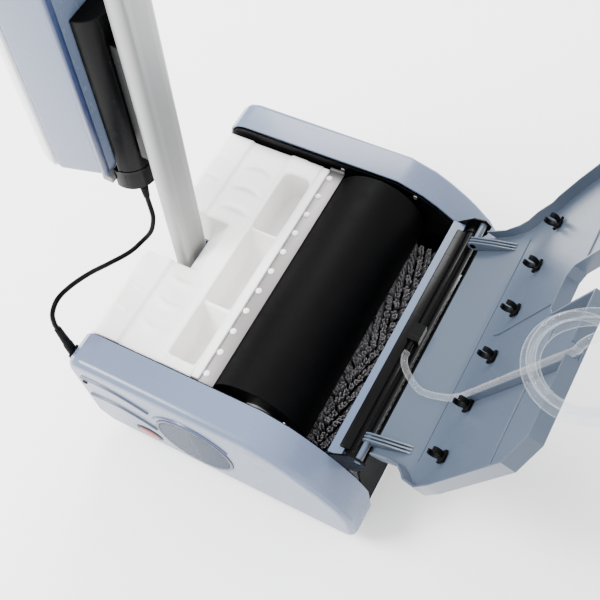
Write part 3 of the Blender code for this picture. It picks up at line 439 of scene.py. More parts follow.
def spun(profile, axis, steps=32):
    """A solid of revolution about X, Y or Z at the origin, from (along, radius) points."""
    ends = {"X": ((1, 0, 0), (0, 0, 1)), "Y": ((0, 1, 0), (0, 0, 1)), "Z": ((0, 0, 1), (1, 0, 0))}
    along, out = (Vector(v) for v in ends[axis])
    bm = bmesh.new()
    verts = [bm.verts.new(along * a + out * r) for a, r in profile]
    edges = [bm.edges.new(pair) for pair in zip(verts, verts[1:])]
    if profile[0][1] > 0:
        edges.append(bm.edges.new((verts[-1], verts[0])))
    bmesh.ops.spin(
        bm,
        geom=verts + edges,
        cent=(0, 0, 0),
        axis=along,
        angle=math.tau,
        steps=steps,
        use_merge=True,
    )
    bmesh.ops.remove_doubles(bm, verts=bm.verts, dist=0.00001)
    bmesh.ops.recalc_face_normals(bm, faces=bm.faces)
    return bm


def moved(bm, by):
    bmesh.ops.translate(bm, vec=by, verts=bm.verts)
    return bm


def joined(*parts):
    """Several bmeshes as one."""
    whole = bmesh.new()
    for part in parts:
        mesh = bpy.data.meshes.new("part")
        part.to_mesh(mesh)
        part.free()
        whole.from_mesh(mesh)
        bpy.data.meshes.remove(mesh)
    return whole


def box(low, high, width=0.0, segments=2):
    bm = bmesh.new()
    bmesh.ops.create_cube(bm, size=1)
    low, high = Vector(low), Vector(high)
    bmesh.ops.scale(bm, vec=high - low, verts=bm.verts)
    bmesh.ops.translate(bm, vec=(low + high) / 2, verts=bm.verts)
    if width:
        soften(bm, width, segments)
    return bm


def settled(made):
    """The object's modifiers applied to a fresh mesh."""
    graph = bpy.context.evaluated_depsgraph_get()
    mesh = bpy.data.meshes.new_from_object(made.evaluated_get(graph))
    bpy.data.objects.remove(made)
    return mesh


def bead(points, radius, sides=2):
    """A round bead along points, as a bmesh."""
    curve = bpy.data.curves.new("bead", "CURVE")
    curve.dimensions = "3D"
    curve.bevel_depth = radius
    curve.bevel_resolution = sides
    curve.use_fill_caps = True
    spline = curve.splines.new("POLY")
    spline.points.add(len(points) - 1)
    for target, point in zip(spline.points, points):
        target.co = (*point, 1)
    drawn = bpy.data.objects.new("bead", curve)
    bpy.context.scene.collection.objects.link(drawn)
    bpy.context.view_layer.update()
    mesh = settled(drawn)
    bm = bmesh.new()
    bm.from_mesh(mesh)
    bpy.data.meshes.remove(mesh)
    bmesh.ops.remove_doubles(bm, verts=bm.verts, dist=0.00001)
    bmesh.ops.recalc_face_normals(bm, faces=bm.faces)
    return bm


# %% [markdown]
# ## Side casings
# Each casing is one glossy moulding with a generous round along its outer edge, so the light
# runs along it in one long band. The near one carries the fan grille, a brow line over it and
# two long raised swooshes. The mouldings come from the solids; the lines are half-sunk beads.

# %% Casings
for name in ("near_casing", "far_casing"):
    dressed(name, casing_blue, 0.0006)
for name in ("near_plate", "far_plate"):
    dressed(name, gloss_black, 0.0006)
for name in ("bearing_carrier", "gear_case"):
    dressed(name, black_abs, 0.0015)

NEAR_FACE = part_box("near_casing")[0][0]
grille = centre("fan_grille")
GRILLE_RADIUS = (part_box("fan_grille")[1][1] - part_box("fan_grille")[0][1]) / 2


def arc(middle, radius, start, end, steps=24):
    """Points of an arc on the near casing's outer face, in degrees from +Y towards +Z."""
    turns = [math.radians(start + (end - start) * i / steps) for i in range(steps + 1)]
    flat = [(radius * math.cos(a), radius * math.sin(a)) for a in turns]
    return [(NEAR_FACE, middle.y + across, middle.z + up) for across, up in flat]


def swoosh(start, end, lift, steps=24):
    """Points of a line on the near casing that bows upwards between two (y, z) places."""
    points = []
    for i in range(steps + 1):
        t = i / steps
        y = start[0] + (end[0] - start[0]) * t
        z = start[1] + (end[1] - start[1]) * t + lift * math.sin(math.pi * t)
        points.append((NEAR_FACE, y, z))
    return points


brow = bead(arc(grille, GRILLE_RADIUS + 0.007, 28, 150), 0.0022, 2)
shown("grille_brow", brow, edge_blue, "chassis")
# The swooshes take the darker blue as painted shade of the grooves they stand for.
upper = bead(swoosh((0.262, 0.190), (0.150, 0.166), 0.010), 0.0028, 2)
lower = bead(swoosh((0.266, 0.128), (0.150, 0.108), 0.013), 0.0028, 2)
shown("casing_swooshes", joined(upper, lower), shadow_blue, "chassis")
print("near casing face at x = %.4f, grille radius %.4f" % (NEAR_FACE, GRILLE_RADIUS))

# %% [markdown]
# ## Fan grille
# A motor fan breathes through fine level louvres in a round frame. The frame is a turned ring
# with a rolled lip; the louvres are thin blades, each cut to the circle's chord.

# %% Grille
LOUVRES = 17
ring = spun(
    [
        (0.003, GRILLE_RADIUS - 0.0004),
        (-0.0012, GRILLE_RADIUS - 0.0004),
        (-0.0022, GRILLE_RADIUS - 0.0022),
        (-0.0018, GRILLE_RADIUS - 0.0050),
        (0.0005, GRILLE_RADIUS - 0.0066),
        (0.003, GRILLE_RADIUS - 0.0066),
    ],
    "X",
    72,
)
place = Vector((NEAR_FACE, grille.y, grille.z))
shown("grille_ring", moved(ring, place), louvre_grey, "chassis", ["fan_grille"])
blades = []
inner_radius = GRILLE_RADIUS - 0.006
for number in range(LOUVRES):
    level = inner_radius * (2 * (number + 0.5) / LOUVRES - 1)
    half = math.sqrt(inner_radius**2 - level**2)
    blade = box((-0.0018, -half, -0.0014), (-0.0004, half, 0.0014), 0.0004)
    blades.append(moved(blade, place + Vector((0, 0, level))))
spine = box((-0.0012, -0.0012, -inner_radius), (0.0004, 0.0012, inner_radius), 0.0004)
blades.append(moved(spine, place))
shown("grille_louvres", joined(*blades), louvre_grey, "chassis")
# Painted shade: a black disc behind the blades darkens the gaps between them.
back_radius = inner_radius + 0.002
back = spun([(0.0006, 0), (0.0006, back_radius), (0.0026, back_radius), (0.0026, 0)], "X", 48)
shown("grille_shade_disc", moved(back, place), black_abs, "chassis")

# %% [markdown]
# ## Badge and plug
# A plain oval badge, red and domed in a black rim, sits behind the grille. It carries no mark.

# %% Badge
badge = centre("badge_plate")


def oval(half_y, half_z, thick, look, name, stands_for=()):
    bm = bmesh.new()
    bmesh.ops.create_uvsphere(bm, u_segments=40, v_segments=14, radius=1.0)
    bmesh.ops.scale(bm, vec=(thick, half_y, half_z), verts=bm.verts)
    moved(bm, Vector((NEAR_FACE, badge.y, badge.z)))
    return shown(name, bm, look, "chassis", stands_for)


oval(0.0250, 0.0185, 0.0022, gloss_black, "badge_rim", ["badge_plate"])
oval(0.0205, 0.0142, 0.0031, signal_red, "badge_dome")
PLUG_PROFILE = [(0.001, 0), (0.001, 0.0045), (-0.0012, 0.0045), (-0.0020, 0.0030), (-0.0020, 0)]
plug = spun(PLUG_PROFILE, "X", 24)
shown("casing_plug", moved(plug, (NEAR_FACE, 0.262, 0.172)), black_abs, "chassis")

# %% [markdown]
# ## Screws
# Round-headed screws hold the inner plates. Each is a small turned head with a sunk socket,
# laid on its face by a turn from +Z to the face's direction.


# %% Screw heads
def screw(place, direction, radius=0.0042):
    head = spun(
        [
            (-0.0004, 0),
            (-0.0004, radius * 0.42),
            (0.0010, radius * 0.46),
            (0.0014, radius * 0.62),
            (0.0010, radius * 0.92),
            (-0.0002, radius),
            (-0.0008, radius),
            (-0.0008, 0),
        ],
        "Z",
        20,
    )
    turn = Vector((0, 0, 1)).rotation_difference(Vector(direction)).to_matrix()
    bmesh.ops.rotate(head, verts=head.verts, matrix=turn, cent=(0, 0, 0))
    return moved(head, place)


plate_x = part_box("far_plate")[0][0]
plate_screws = [
    screw((side * plate_x, y, z), (-side, 0, 0))
    for side in (-1, 1)
    for y, z in ((0.074, 0.212), (-0.130, 0.098), (0.232, 0.196), (-0.050, 0.208))
]
shown("plate_screws", joined(*plate_screws), pin_steel, "chassis")
print("screws:", len(plate_screws))

# %% [markdown]
# ## Brushes
# A cylinder brush is hundreds of tufts set in a spiral that turns both ways from the middle, so
# the rows make a V. Each tuft is a sheaf of stiff fibres that fan out a little. Six tufts are
# made from a few thin cones each, and one of them, picked at random, stands in every hole.

# %% Tufts
BRUSH_TUFTS_ALONG = 41
BRUSH_TUFTS_ROUND = 24
FIBRES = 9
SPIRAL = 7.5  # radians of lead per metre from the middle
TUFT_SWAY = 0.10  # radians either way, at random
TUFT_LEAN = 0.16  # radians round the core
CORE_RADIUS = 0.0195
FIBRE_REACH = (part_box("front_brush_bristles")[1][2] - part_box("front_brush_bristles")[0][2]) / 2


def tuft(seed):
    """A sheaf of thin fibres standing on the origin along +Z."""
    dice = random.Random(seed)
    bm = bmesh.new()
    height = FIBRE_REACH - CORE_RADIUS
    for number in range(FIBRES):
        angle = math.tau * number / FIBRES + dice.uniform(-0.3, 0.3)
        lean = dice.uniform(0.0014, 0.0038)
        tall = height - dice.uniform(0.0, 0.0022)
        grown = bmesh.ops.create_cone(
            bm, cap_ends=True, segments=4, radius1=0.0010, radius2=0.00105, depth=tall
        )["verts"]
        bmesh.ops.translate(bm, verts=grown, vec=(0, 0, tall / 2))
        for vert in grown:
            share = (vert.co.z / tall) ** 1.4
            vert.co.x += math.cos(angle) * (0.0010 + lean * share)
            vert.co.y += math.sin(angle) * (0.0010 + lean * share)
    return bm


def bristles(name, body, handed):
    middle = centre(f"{name}_bristles")
    half = (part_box(f"{name}_bristles")[1][0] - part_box(f"{name}_bristles")[0][0]) / 2 - 0.006
    sheaves = []
    for seed in range(6):
        made = tuft(seed + 10 * handed)
        mesh = bpy.data.meshes.new("tuft")
        made.to_mesh(mesh)
        made.free()
        sheaves.append(mesh)
    dice = random.Random(40 + handed)
    whole = bmesh.new()
    root = Matrix.Translation((0, 0, CORE_RADIUS - 0.001))
    for row in range(BRUSH_TUFTS_ALONG):
        x = half * (2 * row / (BRUSH_TUFTS_ALONG - 1) - 1)
        for step in range(BRUSH_TUFTS_ROUND):
            turn = math.tau * (step + 0.5 * (row % 2)) / BRUSH_TUFTS_ROUND
            turn += handed * SPIRAL * abs(x)
            sway = Matrix.Rotation(dice.uniform(-TUFT_SWAY, TUFT_SWAY), 4, "Y")
            lean = sway @ Matrix.Rotation(TUFT_LEAN * handed, 4, "X")
            out = Matrix.Rotation(turn, 4, "X") @ root @ lean
            sheaf = dice.choice(sheaves)
            spin = Matrix.Rotation(dice.uniform(0, math.tau), 4, "Z")
            before = len(whole.verts)
            whole.from_mesh(sheaf)
            whole.verts.ensure_lookup_table()
            fresh = whole.verts[before:]
            along = Matrix.Translation(middle + Vector((x, 0, 0)))
            bmesh.ops.transform(whole, matrix=along @ out @ spin, verts=fresh)
    for vert in whole.verts:
        across = Vector((vert.co.y - middle.y, vert.co.z - middle.z))
        if across.length > FIBRE_REACH:
            across *= FIBRE_REACH / across.length
            vert.co.y, vert.co.z = middle.y + across.x, middle.z + across.y
    look = fibre(f"{name}_fibre", middle.y, middle.z, CORE_RADIUS + 0.006, FIBRE_REACH)
    sleeve = [f"{name}_bristles"]
    return shown(f"{name}_tufts", whole, look, body, sleeve, crease=60)


for name, handed in (("front_brush", 1), ("rear_brush", -1)):
    made = bristles(name, name, handed)
    fibres = BRUSH_TUFTS_ALONG * BRUSH_TUFTS_ROUND * FIBRES
    print(name, "fibres:", fibres, "faces:", len(made.data.polygons))
    dressed(f"{name}_core", black_abs, 0.0006)

# %% [markdown]
# ## Drum and motor
# The pick-up drum is a rubber-skinned roller. It only needs its ends softened.

# %% Drum
dressed("drum_shell", drum_skin, 0.0012, 3)
dressed("drum_hub_near", black_abs, 0.0005)
dressed("drum_hub_far", black_abs, 0.0005)
dressed("drive_motor", post_alloy, 0.001)
dressed("splash_strip", soft_rubber, 0.0008)

# %% [markdown]
# ## Frame
# Powder-coated bars tie the two casings together, front and rear.

# %% Crossbars, pins, wheels
for name in ("front_crossbar", "rear_crossbar", "tank_shelf"):
    dressed(name, powder_blue, 0.0007)
for name in ("pivot_pin", "wheel_axle"):
    dressed(name, pin_steel, 0.0008)
dressed("park_latch", black_abs, 0.001)
dressed("cable_gland", soft_rubber, 0.0006)
WHEEL_RADIUS = (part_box("wheel_near")[1][2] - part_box("wheel_near")[0][2]) / 2
AXLE_RADIUS = 0.0063
for name, body in (("wheel_near", "near_wheel"), ("wheel_far", "far_wheel")):
    tread = [
        (-0.011, WHEEL_RADIUS - 0.010),
        (-0.011, WHEEL_RADIUS - 0.0025),
        (-0.0088, WHEEL_RADIUS),
    ]
    for groove in (-0.0045, 0.0, 0.0045):
        tread += [(groove - 0.0012, WHEEL_RADIUS), (groove - 0.0008, WHEEL_RADIUS - 0.0014)]
        tread += [(groove + 0.0008, WHEEL_RADIUS - 0.0014), (groove + 0.0012, WHEEL_RADIUS)]
    tread += [
        (0.0088, WHEEL_RADIUS),
        (0.011, WHEEL_RADIUS - 0.0025),
        (0.011, WHEEL_RADIUS - 0.010),
    ]
    tyre = moved(spun(tread, "X", 48), centre(name))
    shown(f"{name}_tyre", tyre, soft_rubber, body, [name])
    disc = [(-0.0085, AXLE_RADIUS), (-0.0105, AXLE_RADIUS + 0.003), (-0.0080, AXLE_RADIUS + 0.006)]
    disc += [(-0.0090, WHEEL_RADIUS - 0.0102), (0.0090, WHEEL_RADIUS - 0.0102)]
    disc += [(0.0080, AXLE_RADIUS + 0.006), (0.0105, AXLE_RADIUS + 0.003), (0.0085, AXLE_RADIUS)]
    shown(f"{name}_disc", moved(spun(disc, "X", 36), centre(name)), grey_abs, body)

# %% [markdown]
# ## Dirty water tank
# A blow-moulded tank has no sharp edge anywhere: the soft plastic only reaches into a corner so
# far. The long slot is carved out of the solid and the stiffening ribs are added as beads. Then
# all is remeshed into one even skin, and smoothing pulls every corner round, as the mould did.

# %% Tank
TANK_VOXEL = 0.0020
tank_high = Vector(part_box("recovery_tank")[1])
PANEL_TOP = tank_high.z - 0.004
SLOT_FRONT, SLOT_REAR, SLOT_DEPTH = 0.1085, 0.1530, 0.065
CRESTS = (-0.0865, 0.0550)
RIB_FRONT = 0.168


def rib(x, side, length, bow):
    """A curved bead on the tank's top panel, bowed away from the middle."""
    points = []
    for i in range(15):
        t = i / 14
        sink = 0.0045 * (2 * t - 1) ** 2
        across = x + side * bow * math.sin(math.pi * t)
        points.append((across, RIB_FRONT + length * t, PANEL_TOP - 0.0015 - sink))
    return bead(points, 0.0058, 3)


def slot_cutter():
    """The long slot's space: three pockets, with a thin wall and a falling ramp between each two."""
    top, floor = tank_high.z, tank_high.z - SLOT_DEPTH
    section = [(-0.180, top + 0.01), (-0.180, floor + 0.006), (-0.172, floor)]
    for crest in CRESTS:
        section += [
            (crest - 0.040, floor),
            (crest - 0.026, floor + 0.010),
            (crest - 0.014, floor + 0.028),
            (crest - 0.006, top - 0.014),
            (crest - 0.0028, top - 0.005),
            (crest + 0.0028, top - 0.005),
            (crest + 0.0040, floor + 0.006),
            (crest + 0.009, floor),
        ]
    section += [(0.157, floor), (0.168, floor + 0.008), (0.168, top + 0.01)]
    bm = bmesh.new()
    face = bm.faces.new([bm.verts.new((x, SLOT_FRONT, z)) for x, z in section])
    swept = bmesh.ops.extrude_face_region(bm, geom=[face])["geom"]
    fresh = [v for v in swept if isinstance(v, bmesh.types.BMVert)]
    bmesh.ops.translate(bm, verts=fresh, vec=(0, SLOT_REAR - SLOT_FRONT, 0))
    tall = [e for e in bm.edges if abs(e.verts[0].co.z - e.verts[1].co.z) > 0.03]
    outer = [e for e in tall if abs(e.verts[0].co.x) > 0.16]
    upright = [e for e in outer if abs(e.verts[0].co.x - e.verts[1].co.x) < 0.001]
    bmesh.ops.bevel(
        bm, geom=upright, offset=0.013, segments=5, profile=0.5, affect="EDGES", material=-1
    )
    bmesh.ops.recalc_face_normals(bm, faces=bm.faces)
    return bm


ribs = []
for side in (-1, 1):
    for place, bow in ((0.070, 0.006), (0.108, 0.009), (0.148, 0.012)):
        ribs.append(rib(side * place, side, 0.058, bow))
for x in (-0.150, -0.112, 0.112, 0.150):
    ends = [(x, 0.250, tank_high.z - 0.001), (x + 0.004, 0.272, tank_high.z - 0.002)]
    ribs.append(bead(ends, 0.0035, 3))


def holder(name, bm):
    """A bare object round a bmesh, for modifiers to work on."""
    mesh = bpy.data.meshes.new(name)
    bm.to_mesh(mesh)
    bm.free()
    made = bpy.data.objects.new(name, mesh)
    bpy.context.scene.collection.objects.link(made)
    return made


slot_space = holder("slot_space", slot_cutter())
carved = holder("tank_carved", merged_copy("recovery_tank"))
carve = carved.modifiers.new("slot", "BOOLEAN")
carve.operation = "DIFFERENCE"
carve.object = slot_space
bpy.context.view_layer.update()
carved_bm = bmesh.new()
carved_bm.from_mesh(settled(carved))
rough = holder("tank_rough", joined(carved_bm, *ribs))
remesh = rough.modifiers.new("skin", "REMESH")
remesh.mode = "VOXEL"
remesh.voxel_size = TANK_VOXEL
smoothing = rough.modifiers.new("soft_mould", "SMOOTH")
smoothing.factor = 0.5
smoothing.iterations = 6
bpy.context.view_layer.update()
tank_bm = bmesh.new()
tank_bm.from_mesh(settled(rough))
bpy.data.objects.remove(slot_space)
tank = shown(
    "tank_moulding", tank_bm, milky_white, "recovery", ["recovery_tank"], crease=80
)
print("tank faces:", len(tank.data.polygons))

# %% [markdown]
# ## Scraper
# A thin steel strip skims the drum. Its white plastic rail is held by a row of pale rivets.

# %% Strip, rail, rivets
RIVETS = 11
RIVET_PITCH = 0.0373
RIVET_DOME = [(0, 0), (0, 0.0050), (0.0018, 0.0048), (0.0028, 0.0036), (0.0033, 0.0018), (0.0034, 0)]
strip_low, strip_high = (Vector(corner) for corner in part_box("scraper_strip"))
dressed("scraper_rail", milky_white, 0.0012)
strip = box(strip_low, (strip_high.x, strip_high.y, strip_low.z + 0.001), 0.0003)
lip_low = (strip_high.x - 0.004, strip_low.y, strip_low.z)
lip = box(lip_low, (strip_high.x, strip_high.y, strip_low.z + 0.006), 0.0003)
sheet = joined(strip, lip)
shown("strip_sheet", sheet, strip_steel, "recovery", ["scraper_strip"])
rivets = []
for number in range(RIVETS):
    x = (number - (RIVETS - 1) / 2) * RIVET_PITCH
    rivets.append(moved(spun(RIVET_DOME, "Z", 20), (x, strip_high.y - 0.0058, strip_low.z)))
shown("strip_rivets", joined(*rivets), cover_white, "recovery")

# %% [markdown]
# ## Lid
# The lid is one bent moulding with a turned-down rim and thin stiffening ribs inside. The ribs
# follow its bends, so they are drawn in the closed lid's own plane, by distance from the axis
# and height over it, and then swung open with it.

# %% The open lid's plane
LID_AXIS = Vector((0, -0.163, 0.200))
LID_OPEN = math.radians(116)
LID_BENDS = [
    (-0.002, 0.0108),
    (0.0138, 0.0215),
    (0.0398, 0.0375),
    (0.0728, 0.0535),
    (0.1118, 0.062),
]
LID_INSIDE = 0.062


def lid_point(x, reach, height):
    """Where a point of the closed lid's frame stands with the lid open."""
    y = reach * math.cos(LID_OPEN) - height * math.sin(LID_OPEN)
    z = reach * math.sin(LID_OPEN) + height * math.cos(LID_OPEN)
    return LID_AXIS + Vector((x, y, z))


def lid_height(reach):
    """Height of the lid's inner face over the axis."""
    for (y0, z0), (y1, z1) in zip(LID_BENDS, LID_BENDS[1:]):
        if reach <= y1:
            return z0 + (z1 - z0) * (reach - y0) / (y1 - y0)
    return LID_INSIDE


def swung(bm):
    """A bmesh drawn in the closed lid's frame, swung open."""
    turn = Matrix.Translation(LID_AXIS) @ Matrix.Rotation(LID_OPEN, 4, "X")
    bmesh.ops.transform(bm, matrix=turn, verts=bm.verts)
    return bm


print("lid open by %.0f degrees" % math.degrees(LID_OPEN))

# %% Lid, its ribs and hinge arms
dressed("lid_panel", lid_blue, 0.0009)
dressed("tube_channel", lid_blue, 0.0004)


def lid_rib(x, start, end, radius=0.0013, steps=18):
    """A thin rib up the lid's inner face."""
    reaches = [start + (end - start) * i / steps for i in range(steps + 1)]
    return swung(bead([(x, reach, lid_height(reach) - 0.0006) for reach in reaches], radius, 2))


def cross_rib(reach, x_low, x_high, radius=0.0014):
    height = lid_height(reach) - 0.0004
    stations = (x_low, (x_low + x_high) / 2, x_high)
    return swung(bead([(x, reach, height) for x in stations], radius, 2))


ribs = [lid_rib(0.010, 0.100, 0.262)]
ribs.append(cross_rib(0.292, -0.225, -0.040))
ribs.append(cross_rib(0.292, 0.040, 0.225))
ribs.append(cross_rib(0.072, -0.185, 0.185))
shown("lid_ribs", joined(*ribs), lid_blue, "lid")


# %% [markdown]
# ## Hinge fins
# The lid turns on two pins. Thin fins, a few millimetres apart, carry each pin's load into the
# panel: one outline, drawn from the side, is extruded three times.

# %% Hinge fins
FIN_OUTLINE = [
    (-0.0090, -0.0010),
    (-0.0055, -0.0072),
    (0.0010, -0.0090),
    (0.0070, -0.0055),
    (0.0300, 0.0160),
    (0.0560, 0.0440),
    (0.0398, 0.0370),
    (0.0138, 0.0212),
    (-0.0015, 0.0100),
    (-0.0070, 0.0060),
]
PIN_RADIUS = 0.005
HINGE_X = 0.172


def fin(x, thick=0.0022):
    bm = bmesh.new()
    face = bm.faces.new([bm.verts.new((x, reach, height)) for reach, height in FIN_OUTLINE])
    swept = bmesh.ops.extrude_face_region(bm, geom=[face])["geom"]
    fresh = [v for v in swept if isinstance(v, bmesh.types.BMVert)]
    bmesh.ops.translate(bm, verts=fresh, vec=(thick, 0, 0))
    bmesh.ops.recalc_face_normals(bm, faces=bm.faces)
    soften(bm, 0.0005, 2, 40)
    return bm


for name, side in (("hinge_arm_near", -1), ("hinge_arm_far", 1)):
    fins = [fin(side * HINGE_X + offset) for offset in (-0.0060, -0.0011, 0.0038)]
    low, high = sorted((side * 0.166, side * 0.2094))
    pin = spun([(low, 0), (low, PIN_RADIUS), (high, PIN_RADIUS), (high, 0)], "X", 24)
    shown(f"{name}_fins", swung(joined(*fins, pin)), lid_blue, "lid", [name])

# %% [markdown]
# ## Spring clips
# Six black clips stand in a row inside the lid. Each is a C-shaped jaw with rounded lips on a
# foot, so the outline of the jaw is drawn from the side and extruded.

# %% Clips
CLIP_REACH = 0.1388
CLIP_WIDTH = 0.0072
CLIP_PITCH = 0.075


def clip(x):
    radius_out, radius_in, gap = 0.0112, 0.0080, math.radians(60)
    turns = [-math.pi / 2 + gap + (math.tau - 2 * gap) * i / 22 for i in range(23)]
    outer = [(radius_out * math.cos(a), radius_out * math.sin(a)) for a in turns]
    inner = [(radius_in * math.cos(a), radius_in * math.sin(a)) for a in reversed(turns)]
    lift = LID_INSIDE - 0.0003 - 0.003 - radius_out
    bm = bmesh.new()
    loop = [bm.verts.new((x - CLIP_WIDTH / 2, y, z)) for y, z in outer + inner]
    face = bm.faces.new(loop)
    swept = bmesh.ops.extrude_face_region(bm, geom=[face])["geom"]
    fresh = [v for v in swept if isinstance(v, bmesh.types.BMVert)]
    bmesh.ops.translate(bm, verts=fresh, vec=(CLIP_WIDTH, 0, 0))
    bmesh.ops.recalc_face_normals(bm, faces=bm.faces)
    soften(bm, 0.0005, 2, 50)
    lips = []
    for side in (-1, 1):
        edge = -math.pi / 2 + side * gap
        middle = (radius_out + radius_in) / 2
        y, z = middle * math.cos(edge), middle * math.sin(edge)
        half = CLIP_WIDTH / 2 - 0.0008
        lips.append(bead([(x - half, y, z - 0.0004), (x + half, y, z - 0.0004)], 0.0019, 2))
    foot = box((x - 0.0085, -0.0080, 0.0088), (x + 0.0085, 0.0080, 0.0130), 0.0010)
    web = box((x - 0.0050, -0.0045, 0.0080), (x + 0.0050, 0.0045, 0.0110), 0.0008)
    whole = joined(bm, *lips, foot, web)
    return swung(moved(whole, (0, CLIP_REACH, lift)))


for number in range(6):
    x = (number - 2.5) * CLIP_PITCH
    solid = [f"lid_clip_{number + 1}"]
    shown(f"clip_{number + 1}", clip(x), black_abs, "lid", solid)

# %% [markdown]
# ## Spray bar
# A black bar with small nozzles wets the front brush. It is held at both ends in the plates.

# %% Spray bar
for name in ("spray_bar", "bar_cap_near", "bar_cap_far", "spray_inlet"):
    dressed(name, gloss_black, 0.0008)
bar = centre("spray_bar")
NOZZLES = 10
NOZZLE_PITCH = 0.037
nozzles = []
for number in range(NOZZLES):
    x = (number - (NOZZLES - 1) / 2) * NOZZLE_PITCH
    nozzle = spun([(0, 0), (0, 0.0040), (0.0025, 0.0040), (0.0040, 0.0026), (0.0040, 0.0)], "Y", 18)
    nozzles.append(moved(nozzle, (x, bar.y + 0.0085, bar.z)))
cover_low = (-0.194, bar.y + 0.0080, bar.z - 0.010)
cover = box(cover_low, (0.194, bar.y + 0.0245, bar.z + 0.0075), 0.0020, 3)
flanges = []
for x_low, x_high in ((-0.185, -0.030), (0.020, 0.185)):
    low = (x_low, bar.y - 0.0016, bar.z + 0.0090)
    flanges.append(box(low, (x_high, bar.y + 0.0016, bar.z + 0.0125), 0.0006))
whole = joined(*nozzles, cover, *flanges)
shown("spray_nozzles", whole, gloss_black, "chassis")

# %% [markdown]
# ## Post and clean water tank
# The post is a rounded aluminium extrusion. Behind it hang the pump in its round housing and
# the clean water tank: a blue-grey box with a dark strip down its front edges and a white cover
# behind a thin seam.

# %% Handle
dressed("handle_post", post_alloy, 0.0005)
for name in ("pump_housing", "pump_collar", "post_clamp"):
    dressed(name, gloss_black, 0.0016, 3)
dressed("pump_side_block", grey_abs, 0.0022, 3)
dressed("strain_relief", soft_rubber, 0.0004)
dressed("solution_tank", casing_blue, 0.0006)
dressed("tank_cover", cover_white, 0.0006)
dressed("filler_cap", gloss_black, 0.0008)
dressed("grip_head", black_abs, 0.0008)
dressed("grip_loop", soft_rubber, 0.0050, 3)
dressed("drive_lever", signal_red, 0.0012)
dressed("water_button", grey_abs, 0.0014, 3)

CAP_KNURLS = 14
LEAN = math.radians(6)
PIVOT = Vector((0, 0.247, 0.105))
handle_turn = Matrix.Translation(PIVOT) @ Matrix.Rotation(LEAN, 4, "X")


def leaned(bm):
    """A bmesh drawn upright in the post's frame, leaned with the post."""
    bmesh.ops.transform(bm, matrix=handle_turn, verts=bm.verts)
    return bm


strips = []
for side in (-1, 1):
    low, high = sorted((side * 0.0500, side * 0.0608))
    strips.append(box((low, 0.0612, 0.303), (high, 0.0700, 0.636), 0.0030, 3))
shown("tank_edge_strips", leaned(joined(*strips)), edge_blue, "solution")
knurls = []
for number in range(CAP_KNURLS):
    turn = Matrix.Rotation(math.tau * number / CAP_KNURLS, 3, "Z")
    knurl = box((-0.0012, 0.0236, 0.003), (0.0012, 0.0252, 0.016), 0.0005)
    bmesh.ops.rotate(knurl, verts=knurl.verts, matrix=turn, cent=(0, 0, 0))
    knurls.append(moved(knurl, (0, 0.1095, 0.6403)))
shown("cap_knurls", leaned(joined(*knurls)), gloss_black, "cap")
ring_gap = spun([(0.0, 0.0372), (0.0, 0.0388), (0.0020, 0.0388), (0.0020, 0.0372)], "Z", 48)
moved(ring_gap, (0, 0.067, 0.286))
every = [*ring_gap.verts, *ring_gap.edges, *ring_gap.faces]
bmesh.ops.bisect_plane(
    ring_gap, geom=every, plane_co=(0, 0.0614, 0), plane_no=(0, 1, 0), clear_outer=True
)
bmesh.ops.holes_fill(ring_gap, edges=ring_gap.edges)
shown("housing_ring", leaned(ring_gap), gloss_black, "handle")

# %% [markdown]
# ## Signal cable
# A black jacketed lead leaves the collar through its tapered sleeve, drops, loops out past the
# tank and goes down into the near casing. Both ends are held by the machine.


# %% Cord helpers
def smooth_route(points, count):
    """A smooth curve through the chosen points, read at count even steps."""
    points = [Vector(p) for p in points]
    padded = [2 * points[0] - points[1], *points, 2 * points[-1] - points[-2]]
    fine = []
    for a, b, c, d in zip(padded, padded[1:], padded[2:], padded[3:]):
        for step in range(24):
            t = step / 24
            bend = (2 * a - 5 * b + 4 * c - d) * t**2 + (3 * b - a - 3 * c + d) * t**3
            fine.append(0.5 * (2 * b + (c - a) * t + bend))
    fine.append(points[-1])
    lengths = [0.0]
    for a, b in zip(fine, fine[1:]):
        lengths.append(lengths[-1] + (b - a).length)
    route, index = [], 0
    for step in range(count):
        wanted = lengths[-1] * step / (count - 1)
        while index < len(fine) - 2 and lengths[index + 1] < wanted:
            index += 1
        share = (wanted - lengths[index]) / max(lengths[index + 1] - lengths[index], 1e-9)
        route.append(fine[index].lerp(fine[index + 1], min(1.0, share)))
    return route


def round_cord(name, route, diameter, look, stands_for, span, resolution=3):
    """A cord along a route. The span argument is not used."""
    curve = bpy.data.curves.new(name, "CURVE")
    curve.dimensions = "3D"
    curve.bevel_depth = diameter / 2
    curve.bevel_resolution = resolution
    curve.use_fill_caps = True
    spline = curve.splines.new("POLY")
    spline.points.add(len(route) - 1)
    for target, point in zip(spline.points, route):
        target.co = (*point, 1)
    curve.materials.append(look)
    drawn = bpy.data.objects.new(name, curve)
    bpy.context.scene.collection.objects.link(drawn)
    bpy.context.view_layer.update()
    mesh = settled(drawn)
    mesh.shade_smooth()
    made = bpy.data.objects.new(name, mesh)
    bpy.context.scene.collection.objects.link(made)
    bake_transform(made)
    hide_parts(*stands_for)
    return made


def route_length(route):
    return sum((b - a).length for a, b in zip(route, route[1:]))


